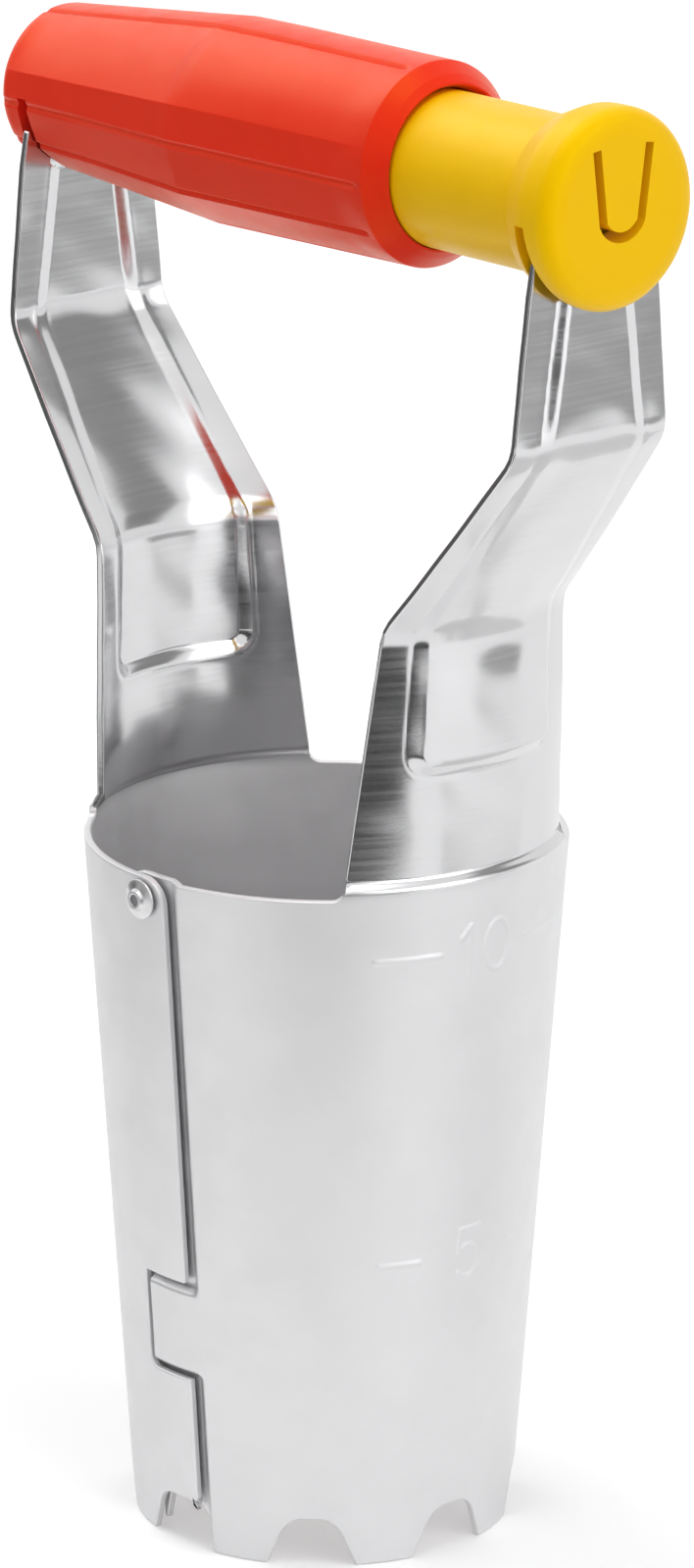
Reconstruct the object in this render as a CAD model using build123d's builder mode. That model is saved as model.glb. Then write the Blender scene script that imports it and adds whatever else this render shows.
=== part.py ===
from build123d import *
import math
import os

os.makedirs("parts", exist_ok=True)

# Hand planter: two stamped steel halves, hinged by two rivets at the rim of a tapered tube.
# Squeezing the handle on top swings the lower ends apart and drops the core of soil.
# Millimetres. Heights start at the tooth tips, Z is the tube's axis, the handle runs along X,
# and the rivets lie on the hinge axis, along Y.

# Tapered tube
sheet = 1.2
tip_radius = 29.7
rim_radius = 37.4
rim_height = 110.0

# Gaps between the teeth, half widths at the tips and at the top
tooth_count = 8
gap_mouth = 6.9
gap_top = 3.7
gap_height = 7.8
gap_round = 2.6

# Seams: the left half's free edges lie outside, the right half steps in and runs under them
lap_edge = 4.5
seam_gap = 0.5
joggle_run = 2.4
lap_reach = 7.0
lap_gap = 0.6
ear_round = 4.2
lap_ear_round = 6.0

# Window in the left half's free edges, where the lap behind it shows
window_reach = 5.0
window_low = 28.4
window_high = 44.4
window_round = 2.0

# Hinge rivets, a little below the rim
hinge_drop = 3.6
rivet_radius = 1.6
pivot_clearance = 0.05
seat_clearance = 0.02
head_radius = 3.1
head_thickness = 0.9
head_gap = 0.1
hub_radius = 1.45
hub_height = 0.5
bulb_radius = 2.5
bulb_length = 1.8
bulb_gap = 0.1
mandrel_radius = 0.9
mandrel_sink = 0.3
mandrel_head_radius = 1.5
mandrel_head_length = 1.4

# Shoulder where the plate of each arm steps inside the rim
shoulder_lift = 1.4
shoulder_rise = 1.8
shoulder_inset = 1.2
shoulder_round = 1.4
shoulder_inner_round = 0.3
corner_round = 2.0

# Arm: a round plate, a slanted leg and an upright leg, whose outer face stands at arm_top_x
plate_rise = 41.4
slant_rise = 30.4
upright_rise = 36.2
plate_flare = 0.4
arm_top_x = 58.2
bend_radius = 9.0
upright_crowning = 300.0

# Half widths of the arm's outline, from the rim up, and where it narrows below the handle's axis
plate_half_width = 22.8
low_bend_half_width = 18.4
high_bend_half_width = 15.4
arm_neck_half_width = 12.9
arm_neck_drop = 12.0
arm_shoulder_half_width = 11.9
arm_shoulder_drop = 1.5

# Panel raised along the arm, from above the rim to below the handle's axis, in half widths
panel_depth = 1.0
panel_ramp = 1.5
panel_lift = 18.5
panel_start_half = 13.0
low_bend_panel_half = 12.2
high_bend_panel_half = 8.8
panel_end_half = 5.5
panel_end_drop = 15.0

# Tongue of each arm, with the hole that the snap nib of the plastic enters
tongue_half_width = 6.5
tongue_height = 8.5
tongue_round = 2.0
latch_hole_radius = 2.6
nib_radius = 2.0
nib_reach = 0.6

# Handle, on an axis along X through both arm tops
squeeze_angle = 12.0
tilt_spare = 0.6
slot_clearance = 0.4

# Plunger with its end cap, along X from the arm's outer face
plunger_radius = 11.8
plunger_wall = 2.4
plunger_overlap = 32.8
bore_inset = 8.7
collar_inset = 5.0
collar_ramp = 0.6
collar_radius = 13.3
cap_radius = 15.1
cap_flare = 4.3
cap_cover = 5.5
cap_round = 2.6
flare_round = 5.0
nose_round = 0.8

# Snap finger, cut free by a slit in the end face, sizes from the handle's axis
finger_top = 9.6
finger_top_half = 5.0
finger_low = 1.6
finger_low_half = 3.5
finger_tip = 3.6
finger_slit = 1.5
grip_finger_top = 6.4
grip_finger_top_half = 4.4

# Grip: faceted sleeve, widest near its middle, with a bevelled lip at its open end
facet_count = 10
grip_cover = 5.6
grip_length = 90.6
grip_taper_length = 43.0
grip_far_radius = 12.7
grip_far_round = 2.4
grip_middle_radius = 16.9
grip_lip_radius = 16.1
lip_bevel = 2.7
lip_face_radius = 12.9
slide_clearance = 0.3
stroke_room = 27.5
pocket_radius = 9.1

# Return spring
coil_radius = 7.5
wire_radius = 0.7
coil_turns = 12
coil_seat = 0.1

# Heights, each from the one below it
hinge_height = rim_height - hinge_drop
shoulder_height = rim_height + shoulder_lift
panel_start = rim_height + panel_lift
low_bend_height = rim_height + plate_rise
high_bend_height = low_bend_height + slant_rise
handle_height = high_bend_height + upright_rise
panel_end = handle_height - panel_end_drop
arm_neck_height = handle_height - arm_neck_drop
arm_shoulder_height = handle_height - arm_shoulder_drop
low_bend_crown = rim_radius + plate_flare

# Places along the handle
plunger_bore_end_x = arm_top_x - bore_inset
collar_x = arm_top_x - collar_inset
flare_end_x = collar_x + cap_flare
cap_face_x = arm_top_x + cap_cover
grip_far_x = -arm_top_x - grip_cover
grip_middle_x = grip_far_x + grip_taper_length
lip_end_x = grip_far_x + grip_length
lip_start_x = lip_end_x - lip_bevel
plunger_nose_x = lip_end_x - plunger_overlap
grip_bore_end_x = plunger_nose_x - stroke_room
pocket_end_x = -plunger_bore_end_x


def wall_radius(height):
    """Outer radius of the tapered wall at a height."""
    return tip_radius + (rim_radius - tip_radius) * height / rim_height


def plate_radius(height):
    """Outer radius of the arm's round plate, from the shoulder up to the low bend."""
    start = shoulder_height + shoulder_rise
    base = wall_radius(shoulder_height) - shoulder_inset
    share = (height - start) / (low_bend_height - start)
    return base + (low_bend_crown - base) * share


def between(height, low, high):
    """Straight line between two (height, size) pairs."""
    share = (height - low[0]) / (high[0] - low[0])
    return low[1] + (high[1] - low[1]) * share


def arm_half_width(height):
    """Half width of the arm's outline at a height."""
    stations = [
        (rim_height, plate_half_width),
        (low_bend_height, low_bend_half_width),
        (high_bend_height, high_bend_half_width),
        (arm_neck_height, arm_neck_half_width),
        (arm_shoulder_height, arm_shoulder_half_width),
    ]
    for low, high in zip(stations, stations[1:]):
        if height <= high[0]:
            return between(height, low, high)
    return arm_shoulder_half_width


def panel_half_width(height):
    """Half width of the arm's raised panel at a height."""
    stations = [
        (panel_start, panel_start_half),
        (low_bend_height, low_bend_panel_half),
        (high_bend_height, high_bend_panel_half),
        (panel_end, panel_end_half),
    ]
    for low, high in zip(stations, stations[1:]):
        if height <= high[0]:
            return between(height, low, high)
    return panel_end_half


def chord_arc(radius, x_from, x_to, side):
    """Arc about the tube's axis between two x values, on the +Y or -Y side."""
    first = math.acos(x_from / radius)
    last = math.acos(x_to / radius)
    points = []
    for angle in (first, (first + last) / 2, last):
        points.append((radius * math.cos(angle), side * radius * math.sin(angle)))
    return ThreePointArc(*points)


def right_wall_section(height):
    """Level section of the right half's wall: flush in the middle, stepped in under both seams."""
    flush = wall_radius(height)
    lap = flush - sheet - lap_gap
    step_in = lap_edge + seam_gap
    step_out = step_in + joggle_run
    with BuildSketch(Plane.XY.offset(height)) as section:
        with BuildLine():
            for inset in (0, sheet):
                near_lap = chord_arc(lap - inset, -lap_reach, step_in, -1)
                near_wall = chord_arc(flush - inset, step_out, flush - inset, -1)
                far_wall = chord_arc(flush - inset, flush - inset, step_out, 1)
                far_lap = chord_arc(lap - inset, step_in, -lap_reach, 1)
                Line(near_lap @ 1, near_wall @ 0)
                Line(far_wall @ 1, far_lap @ 0)
            for side in (-1, 1):
                outer_y = side * math.sqrt(lap**2 - lap_reach**2)
                inner_y = side * math.sqrt((lap - sheet) ** 2 - lap_reach**2)
                Line((-lap_reach, outer_y), (-lap_reach, inner_y))
        make_face()
    return section.sketch


def left_wall_section(height):
    """Level section of the left half's wall, drawn on the +X side, with its edges past the seams."""
    flush = wall_radius(height)
    with BuildSketch(Plane.XY.offset(height)) as section:
        with BuildLine():
            for inset in (0, sheet):
                chord_arc(flush - inset, -lap_edge, flush - inset, -1)
                chord_arc(flush - inset, flush - inset, -lap_edge, 1)
            for side in (-1, 1):
                outer_y = side * math.sqrt(flush**2 - lap_edge**2)
                inner_y = side * math.sqrt((flush - sheet) ** 2 - lap_edge**2)
                Line((-lap_edge, outer_y), (-lap_edge, inner_y))
        make_face()
    return section.sketch


def shoulder_profile(start_angle):
    """Section of the shoulder and the round plate, from the rim up to where the panel starts."""
    angle = math.radians(start_angle)
    plane = Plane(
        origin=(0, 0, 0),
        x_dir=(math.cos(angle), math.sin(angle), 0),
        z_dir=(math.sin(angle), -math.cos(angle), 0),
    )
    plate_start = shoulder_height + shoulder_rise
    outer = [
        (wall_radius(rim_height), rim_height),
        (wall_radius(shoulder_height), shoulder_height),
        (plate_radius(plate_start), plate_start),
        (plate_radius(panel_start), panel_start),
    ]
    inner = [(x - sheet, z) for x, z in reversed(outer)]
    with BuildSketch(plane) as profile:
        with BuildLine():
            Polyline(*outer, *inner, close=True)
        make_face()
        wide = [outer[1], inner[1]]
        tight = [outer[2], inner[2]]
        for corners, radius in ((wide, shoulder_round), (tight, shoulder_inner_round)):
            for x, z in corners:
                fillet(profile.vertices().sort_by_distance((x, z))[0], radius)
    return profile.sketch


def plate_trim(side):
    """Region beside the plate that is cut away above the rim, with a rounded inner corner."""
    beyond = 2 * plate_half_width
    top = panel_start + sheet
    with BuildSketch(Plane.YZ) as trim:
        with BuildLine():
            Polyline(
                (side * plate_half_width, rim_height),
                (side * beyond, rim_height),
                (side * beyond, top),
                (side * arm_half_width(top), top),
                close=True,
            )
        make_face()
        corner = trim.vertices().sort_by_distance((side * plate_half_width, rim_height))[0]
        fillet(corner, corner_round)
    return trim.sketch


def arm_section(height, crown, crowning, depth):
    """Level section of the arm's sheet: two edge strips beside a panel raised by depth.

    crown is the outer face's x at the middle, and crowning the radius that the sheet is curved to.
    """
    half = arm_half_width(height)
    panel = panel_half_width(height)
    ramp = panel + panel_ramp
    centre = crown - crowning

    def point(y, offset):
        return (centre + math.sqrt((crowning + offset) ** 2 - y**2), y)

    def arc(y_from, y_to, offset):
        middle = (y_from + y_to) / 2
        return ThreePointArc(point(y_from, offset), point(middle, offset), point(y_to, offset))

    outline = []
    for inset in (0, -sheet):
        outline.append(arc(-half, -ramp, inset))
        outline.append(arc(-panel, panel, inset + depth))
        outline.append(arc(ramp, half, inset))
        for side in (-1, 1):
            if depth > 0:
                outline.append(Line(point(side * ramp, inset), point(side * panel, inset + depth)))
            else:
                outline.append(arc(side * ramp, side * panel, inset))
    for side in (-1, 1):
        outline.append(Line(point(side * half, 0), point(side * half, -sheet)))
    return make_face(outline).moved(Location((0, 0, height)))


def flat_arm_section(height):
    """Level section of the arm's flat top, with as many edges as the sections below it."""
    half = arm_half_width(height)
    panel = panel_half_width(height)
    ramp = panel + panel_ramp
    stops = (-half, -ramp, -panel, panel, ramp, half)
    outline = []
    for x in (arm_top_x, arm_top_x - sheet):
        for y_from, y_to in zip(stops, stops[1:]):
            outline.append(Line((x, y_from), (x, y_to)))
    for y in (-half, half):
        outline.append(Line((arm_top_x, y), (arm_top_x - sheet, y)))
    return make_face(outline).moved(Location((0, 0, height)))


def bend_stations(before, corner, after):
    """Start, middle and end of the arc that rounds a corner of the arm's crown line, as (x, z)."""
    into = (Vector(*corner) - Vector(*before)).normalized()
    out = (Vector(*after) - Vector(*corner)).normalized()
    half_turn = math.radians(into.get_angle(out)) / 2
    reach = bend_radius * math.tan(half_turn)
    inward = (out - into).normalized()
    start = Vector(*corner) - into * reach
    end = Vector(*corner) + out * reach
    middle = Vector(*corner) + inward * (bend_radius / math.cos(half_turn) - bend_radius)
    return [(point.X, point.Y) for point in (start, middle, end)]


def arm_sections():
    """Sections of the arm from the start of its panel up to its shoulder."""
    panel_low = (plate_radius(panel_start), panel_start)
    low_bend = (low_bend_crown, low_bend_height)
    high_bend = (arm_top_x, high_bend_height)
    panel_high = (arm_top_x, panel_end)
    low_stations = bend_stations(panel_low, low_bend, high_bend)
    high_stations = bend_stations(low_bend, high_bend, panel_high)
    panel_full = panel_start + panel_ramp
    sections = [
        arm_section(panel_start, panel_low[0], panel_low[0], 0),
        arm_section(panel_full, plate_radius(panel_full), plate_radius(panel_full), panel_depth),
    ]
    flattening_from = low_stations[0][1]
    flattening_to = high_stations[-1][1]
    for x, z in low_stations + high_stations:
        share = (z - flattening_from) / (flattening_to - flattening_from)
        curvature = (1 - share) / low_bend_crown + share / upright_crowning
        sections.append(arm_section(z, x, 1 / curvature, panel_depth))
    sections.append(arm_section(panel_end, arm_top_x, upright_crowning, panel_depth))
    sections.append(flat_arm_section(arm_neck_height))
    sections.append(flat_arm_section(arm_shoulder_height))
    return sections


def tongue_profile():
    """Outline of the tongue that stands on the arm's shoulder."""
    top = arm_shoulder_height + tongue_height
    with BuildSketch(Plane.YZ.offset(arm_top_x - sheet)) as tongue:
        with Locations((0, arm_shoulder_height + tongue_height / 2)):
            Rectangle(2 * tongue_half_width, tongue_height)
        upper = [v for v in tongue.vertices() if v.Y > top - tongue_round]
        fillet(upper, tongue_round)
    return tongue.sketch


def stamp_arm():
    """Adds the shoulder, the plate and the arm to the half that is being built on the +X side."""
    widest = plate_half_width + corner_round + sheet
    half_sector = math.degrees(math.asin(widest / rim_radius))
    revolve(shoulder_profile(-half_sector), axis=Axis.Z, revolution_arc=2 * half_sector)
    for side in (-1, 1):
        extrude(plate_trim(side), amount=2 * rim_radius, both=True, mode=Mode.SUBTRACT)
    loft(arm_shape, ruled=True)
    extrude(tongue_profile(), amount=sheet)
    with Locations((arm_top_x, 0, handle_height)):
        Cylinder(latch_hole_radius, 4 * sheet, rotation=(0, 90, 0), mode=Mode.SUBTRACT)


def cut_teeth():
    """Cuts the gaps between the teeth of the half that is being built."""
    below = sheet
    slope = (gap_mouth - gap_top) / gap_height
    low_half = gap_mouth + slope * below
    with BuildSketch(Plane.YZ) as gap:
        with BuildLine():
            Polyline(
                (-low_half, -below),
                (low_half, -below),
                (gap_top, gap_height),
                (-gap_top, gap_height),
                close=True,
            )
        make_face()
        fillet([v for v in gap.vertices() if v.Y > 0], gap_round)
    for tooth in range(tooth_count):
        turned = gap.sketch.rotate(Axis.Z, tooth * 360 / tooth_count)
        extrude(turned, amount=rim_radius, mode=Mode.SUBTRACT)


def round_ear(edge_x, radius):
    """Rounds the top corner of both free edges of the half that is being built."""
    with BuildSketch(Plane.XZ) as corner:
        with Locations((edge_x + radius / 2, rim_height - radius / 2)):
            Rectangle(radius, radius)
        with Locations((edge_x + radius, rim_height - radius)):
            Circle(radius, mode=Mode.SUBTRACT)
    extrude(corner.sketch, amount=2 * rim_radius, both=True, mode=Mode.SUBTRACT)


def drill_pivot(radius):
    """Drills the rivet holes through both ears of the half that is being built."""
    with Locations((0, 0, hinge_height)):
        Cylinder(radius, 4 * rim_radius, rotation=(90, 0, 0), mode=Mode.SUBTRACT)


arm_shape = arm_sections()

# Right half: inner laps at both seams
with BuildPart() as right_half:
    loft([right_wall_section(0), right_wall_section(rim_height)], ruled=True)
    stamp_arm()
    cut_teeth()
    round_ear(-lap_reach, lap_ear_round)
    drill_pivot(rivet_radius + seat_clearance)

# Left half: built on the +X side, then mirrored across the hinge plane
with BuildPart() as left_half:
    loft([left_wall_section(0), left_wall_section(rim_height)], ruled=True)
    stamp_arm()
    cut_teeth()
    round_ear(-lap_edge, ear_round)
    drill_pivot(rivet_radius + pivot_clearance)
    with BuildSketch(Plane.XZ) as window:
        with BuildLine():
            Polyline(
                (-2 * lap_edge, window_low),
                (window_reach, window_low),
                (window_reach, window_high),
                (-2 * lap_edge, window_high),
                close=True,
            )
        make_face()
        fillet(window.vertices().sort_by_distance((window_reach, window_low))[0], window_round)
    extrude(amount=2 * rim_radius, both=True, mode=Mode.SUBTRACT)
    mirror(about=Plane.YZ, mode=Mode.REPLACE)

right_half.part.label = "right_half"
left_half.part.label = "left_half"
export_step(right_half.part, "parts/right_half.step")
export_step(left_half.part, "parts/left_half.step")

# Rivets: the head stands clear of the highest point of the ear under it, the bulb sits inside the lap
head_seat = wall_radius(hinge_height + head_radius) + head_gap
lap_inner = wall_radius(hinge_height - bulb_radius) - sheet - lap_gap - sheet
bulb_seat = math.sqrt(lap_inner**2 - bulb_radius**2) - bulb_gap
head_face = head_seat + head_thickness
hub_face = head_face + hub_height
bulb_end = bulb_seat - bulb_length
rivet_hole = mandrel_radius + seat_clearance
hinge_axis = Axis((0, 0, hinge_height), (0, 1, 0))
hinge_plane = Plane.XY.offset(hinge_height)

for place, side in (("front", -1), ("rear", 1)):
    with BuildPart() as rivet:
        with BuildSketch(hinge_plane):
            with BuildLine():
                Polyline(
                    (rivet_hole, side * bulb_end),
                    (bulb_radius, side * bulb_end),
                    (bulb_radius, side * bulb_seat),
                    (rivet_radius, side * bulb_seat),
                    (rivet_radius, side * head_seat),
                    (head_radius, side * head_seat),
                    (head_radius, side * (head_seat + head_thickness / 2)),
                    (hub_radius, side * head_face),
                    (hub_radius, side * hub_face),
                    (rivet_hole, side * hub_face),
                    close=True,
                )
            make_face()
        revolve(axis=hinge_axis)
    rivet.part.label = f"{place}_rivet"
    export_step(rivet.part, f"parts/{place}_rivet.step")

    with BuildPart() as mandrel:
        with BuildSketch(hinge_plane):
            with BuildLine():
                Polyline(
                    (0, side * (bulb_end - mandrel_head_length)),
                    (mandrel_head_radius, side * (bulb_end - mandrel_head_length)),
                    (mandrel_head_radius, side * bulb_end),
                    (mandrel_radius, side * bulb_end),
                    (mandrel_radius, side * (hub_face - mandrel_sink)),
                    (0, side * (hub_face - mandrel_sink)),
                    close=True,
                )
            make_face()
        revolve(axis=hinge_axis)
    mandrel.part.label = f"{place}_mandrel"
    export_step(mandrel.part, f"parts/{place}_mandrel.step")

# Socket for an arm's top, on the +X side: the arm leans out below the handle's axis and in above it
tilt = math.tan(math.radians(squeeze_angle / 2 + tilt_spare))
slot_inner = arm_top_x - sheet - slot_clearance
slot_outer = arm_top_x + slot_clearance
slot_low = handle_height - 2 * cap_radius
slot_shoulder = arm_shoulder_height + slot_clearance
slot_high = arm_shoulder_height + tongue_height + slot_clearance
tongue_slot_half = tongue_half_width + slot_clearance
panel_slot_half = panel_end_half + panel_ramp + slot_clearance
panel_slot_outer = slot_outer + panel_depth
panel_slot_high = arm_neck_height + slot_clearance

with BuildPart() as arm_socket:
    with BuildSketch(Plane.XZ):
        with BuildLine():
            Polyline(
                (slot_inner, slot_low),
                (slot_outer + tilt * (handle_height - slot_low), slot_low),
                (slot_outer + tilt * (handle_height - slot_shoulder), slot_shoulder),
                (slot_inner, slot_shoulder),
                close=True,
            )
        make_face()
    extrude(amount=2 * cap_radius, both=True)
    with BuildSketch(Plane.XZ):
        with BuildLine():
            Polyline(
                (slot_inner, slot_low),
                (panel_slot_outer + tilt * (handle_height - slot_low), slot_low),
                (panel_slot_outer + tilt * (handle_height - panel_slot_high), panel_slot_high),
                (slot_inner, panel_slot_high),
                close=True,
            )
        make_face()
    extrude(amount=panel_slot_half, both=True)
    with BuildSketch(Plane.XZ):
        with BuildLine():
            Polyline(
                (slot_inner, slot_shoulder),
                (slot_outer + tilt * (handle_height - slot_shoulder), slot_shoulder),
                (slot_outer, handle_height),
                (slot_outer, slot_high),
                (slot_inner - tilt * (slot_high - handle_height), slot_high),
                (slot_inner, handle_height),
                close=True,
            )
        make_face()
    extrude(amount=tongue_slot_half, both=True)


def finger_slit_cut(top, top_half):
    """Slit around a snap finger, cut from the arm's slot out through the end face on the +X side."""
    with BuildSketch(Plane.YZ.offset(slot_outer)) as slit:
        with BuildLine():
            left_leg = Line(
                (-top_half, handle_height + top),
                (-finger_low_half, handle_height - finger_low),
            )
            right_leg = Line(
                (finger_low_half, handle_height - finger_low),
                (top_half, handle_height + top),
            )
            ThreePointArc(left_leg @ 1, (0, handle_height - finger_tip), right_leg @ 0)
        trace(line_width=finger_slit)
    return slit.sketch


# Nib on the snap finger that enters the arm's latch hole, on the +X side
nib_length = sheet + slot_clearance + 2 * nib_reach
with BuildPart() as snap_nib:
    with Locations((slot_outer + nib_reach - nib_length / 2, 0, handle_height)):
        Cylinder(nib_radius, nib_length, rotation=(0, 90, 0))


# Plunger: yellow tube, collar and end cap in one moulding
plunger_bore = plunger_radius - plunger_wall
handle_axis = Axis((0, 0, handle_height), (1, 0, 0))
with BuildPart() as plunger:
    with BuildSketch(Plane.XZ) as profile:
        with BuildLine():
            Polyline(
                (plunger_nose_x, handle_height + plunger_bore),
                (plunger_nose_x, handle_height + plunger_radius),
                (collar_x - collar_ramp, handle_height + plunger_radius),
                (collar_x, handle_height + collar_radius),
                (flare_end_x, handle_height + cap_radius),
                (cap_face_x, handle_height + cap_radius),
                (cap_face_x, handle_height),
                (plunger_bore_end_x, handle_height),
                (plunger_bore_end_x, handle_height + plunger_bore),
                close=True,
            )
        make_face()
        rounds = (
            (cap_face_x, cap_radius, cap_round),
            (flare_end_x, cap_radius, flare_round),
            (plunger_nose_x, plunger_radius, nose_round),
        )
        for x, radius, size in rounds:
            corner = profile.vertices().sort_by_distance((x, handle_height + radius))[0]
            fillet(corner, size)
    revolve(axis=handle_axis)
    add(arm_socket.part, mode=Mode.SUBTRACT)
    extrude(finger_slit_cut(finger_top, finger_top_half), amount=cap_radius, mode=Mode.SUBTRACT)
    add(snap_nib.part)
plunger.part.label = "plunger"
export_step(plunger.part, "parts/plunger.step")

# Grip: built with its arm end on the +X side like the plunger's, then mirrored
with BuildPart() as grip:
    with BuildSketch(Plane.YZ.offset(-grip_far_x)):
        with Locations((0, handle_height)):
            RegularPolygon(grip_far_radius, facet_count)
    with BuildSketch(Plane.YZ.offset(-grip_middle_x)):
        with Locations((0, handle_height)):
            RegularPolygon(grip_middle_radius, facet_count)
    with BuildSketch(Plane.YZ.offset(-lip_end_x)):
        with Locations((0, handle_height)):
            RegularPolygon(grip_lip_radius, facet_count)
    loft(ruled=True)
    fillet(grip.faces().sort_by(Axis.X)[-1].edges(), grip_far_round)
    with BuildSketch(Plane.XZ):
        with BuildLine():
            Polyline(
                (-lip_start_x, handle_height + grip_lip_radius),
                (-lip_end_x, handle_height + lip_face_radius),
                (-lip_end_x - lip_bevel, handle_height + lip_face_radius),
                (-lip_end_x - lip_bevel, handle_height + 2 * grip_lip_radius),
                (-lip_start_x, handle_height + 2 * grip_lip_radius),
                close=True,
            )
        make_face()
    revolve(axis=handle_axis, mode=Mode.SUBTRACT)
    with BuildSketch(Plane.XZ):
        with BuildLine():
            Polyline(
                (-lip_end_x, handle_height),
                (-lip_end_x, handle_height + plunger_radius + slide_clearance),
                (-grip_bore_end_x, handle_height + plunger_radius + slide_clearance),
                (-grip_bore_end_x, handle_height + pocket_radius),
                (-pocket_end_x, handle_height + pocket_radius),
                (-pocket_end_x, handle_height),
                close=True,
            )
        make_face()
    revolve(axis=handle_axis, mode=Mode.SUBTRACT)
    add(arm_socket.part, mode=Mode.SUBTRACT)
    extrude(
        finger_slit_cut(grip_finger_top, grip_finger_top_half),
        amount=cap_radius,
        mode=Mode.SUBTRACT,
    )
    add(snap_nib.part)
    mirror(about=Plane.YZ, mode=Mode.REPLACE)
grip.part.label = "grip"
export_step(grip.part, "parts/grip.step")

# Return spring: one round wire, coiled from the grip's pocket to the end of the plunger's bore
coil_start_x = pocket_end_x + wire_radius + coil_seat
coil_end_x = plunger_bore_end_x - wire_radius - coil_seat
coil_pitch = (coil_end_x - coil_start_x) / coil_turns


def coil_point(turn):
    """Point of the wire's centre line, in turns from its start."""
    angle = 2 * math.pi * turn
    return Vector(
        coil_start_x + coil_pitch * turn,
        coil_radius * math.cos(angle),
        handle_height + coil_radius * math.sin(angle),
    )


def coil_direction(turn):
    """Unit direction of the wire's centre line."""
    angle = 2 * math.pi * turn
    rise = coil_pitch / (2 * math.pi)
    return Vector(rise, -coil_radius * math.sin(angle), coil_radius * math.cos(angle)).normalized()


with BuildPart() as return_spring:
    with BuildLine() as coil:
        for quarter in range(4 * coil_turns):
            first, last = quarter / 4, (quarter + 1) / 4
            start, end = coil_point(first), coil_point(last)
            start_way, end_way = coil_direction(first), coil_direction(last)
            chord = end - start
            ways = start_way + end_way
            spread = 2 * (1 - start_way.dot(end_way))
            along = chord.dot(ways)
            arm = (math.sqrt(along**2 + spread * chord.dot(chord)) - along) / spread
            first_corner = start + start_way * arm
            last_corner = end - end_way * arm
            joint = (first_corner + last_corner) * 0.5
            TangentArc(start, joint, tangent=start_way)
            TangentArc(joint, end, tangent=(last_corner - first_corner).normalized())
    with BuildSketch(Plane(origin=coil_point(0), z_dir=coil_direction(0))):
        Circle(wire_radius)
    sweep(path=coil.wires()[0])
return_spring.part.label = "return_spring"
export_step(return_spring.part, "parts/return_spring.step")

samples_per_turn = 24
coil_samples = [coil_point(i / samples_per_turn) for i in range(samples_per_turn * coil_turns + 1)]
least_gap = min(
    (a - b).length
    for i, a in enumerate(coil_samples)
    for b in coil_samples[i + samples_per_turn // 2 :]
)
print("least gap between turns of the spring", round(least_gap - 2 * wire_radius, 2), "mm")
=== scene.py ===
import math

import bmesh
import bpy
import numpy as np
from mathutils import Matrix, Vector
from mathutils.geometry import delaunay_2d_cdt


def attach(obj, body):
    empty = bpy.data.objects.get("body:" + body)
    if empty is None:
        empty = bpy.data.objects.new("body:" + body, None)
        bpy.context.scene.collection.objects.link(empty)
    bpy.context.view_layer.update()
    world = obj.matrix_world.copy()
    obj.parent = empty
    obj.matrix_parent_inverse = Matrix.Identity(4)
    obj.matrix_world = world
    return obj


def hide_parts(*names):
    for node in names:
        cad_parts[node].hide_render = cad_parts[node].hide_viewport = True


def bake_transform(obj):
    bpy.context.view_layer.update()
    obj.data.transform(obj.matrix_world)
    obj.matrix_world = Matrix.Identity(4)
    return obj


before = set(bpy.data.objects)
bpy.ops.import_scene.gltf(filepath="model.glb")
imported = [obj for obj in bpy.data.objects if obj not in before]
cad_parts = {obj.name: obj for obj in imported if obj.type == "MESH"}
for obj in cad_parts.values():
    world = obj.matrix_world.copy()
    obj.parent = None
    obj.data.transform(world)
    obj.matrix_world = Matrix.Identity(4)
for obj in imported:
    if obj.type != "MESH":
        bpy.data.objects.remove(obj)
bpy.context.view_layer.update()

# Sizes in millimetres. Heights start at the tooth tips.
MM = 0.001
TINY = 1e-6

# Tapered tube
SHEET = 1.2
TIP_RADIUS = 29.7
RIM_RADIUS = 37.4
RIM_HEIGHT = 110.0
EDGE_ROUND = 0.32

# Gaps between the teeth
TOOTH_COUNT = 8
GAP_MOUTH = 6.9
GAP_TOP = 3.7
GAP_HEIGHT = 7.8
GAP_ROUND = 5.2
SEAM_GAP_ROUND = 2.6
TOOTH_ROUND = 0.6

# Seams and the window in the left half's edges
LAP_EDGE = 4.5
LAP_REACH = 7.0
LAP_DROP = 1.8
JOGGLE_START = 5.0
JOGGLE_END = 7.4
JOGGLE_TOP = 111.0
EAR_ROUND = 4.2
LAP_EAR_ROUND = 6.0
EAR_GAP = 0.5
WINDOW_REACH = 5.0
WINDOW_LOW = 28.4
WINDOW_HIGH = 44.4
WINDOW_ROUND = 2.0
WINDOW_CORNER = 0.5
PAD_SHARE = 0.9
PAD_GAP = 0.15
PAD_RAMP = 0.8
PAD_END_GAP = 0.3
PAD_END_RAMP = 1.3

# Hinge
HINGE_HEIGHT = 106.4
LEFT_HOLE = 1.65
RIGHT_HOLE = 1.62

# Arms: the crown line's corners, and the outline's half widths
SHOULDER_HEIGHT = 111.4
SHOULDER_TOP = SHOULDER_HEIGHT + 1.1
SHOULDER_INSET = 1.2
SHOULDER_ROUND = 0.8
SHOULDER_FOOT_ROUND = 0.7
PLATE_HALF = 22.8
PLATE_CORNER = 2.0
LOW_BEND_HEIGHT = 151.4
LOW_BEND_CROWN = 37.8
LOW_BEND_HALF = 18.4
HIGH_BEND_HEIGHT = 181.8
HIGH_BEND_HALF = 15.4
BEND_ROUND = 9.0
BEND_EDGE_ROUND = 6.0
ARM_TOP_X = 58.2
UPRIGHT_CROWNING = 300.0
NECK_HEIGHT = 206.0
NECK_HALF = 12.9
NECK_ROUND = 3.0
ARM_SHOULDER_HEIGHT = 211.8
ARM_SHOULDER_HALF = 11.9
ARM_SHOULDER_ROUND = 0.5
TONGUE_HALF = 6.5
TONGUE_TOP = 225.0
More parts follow.
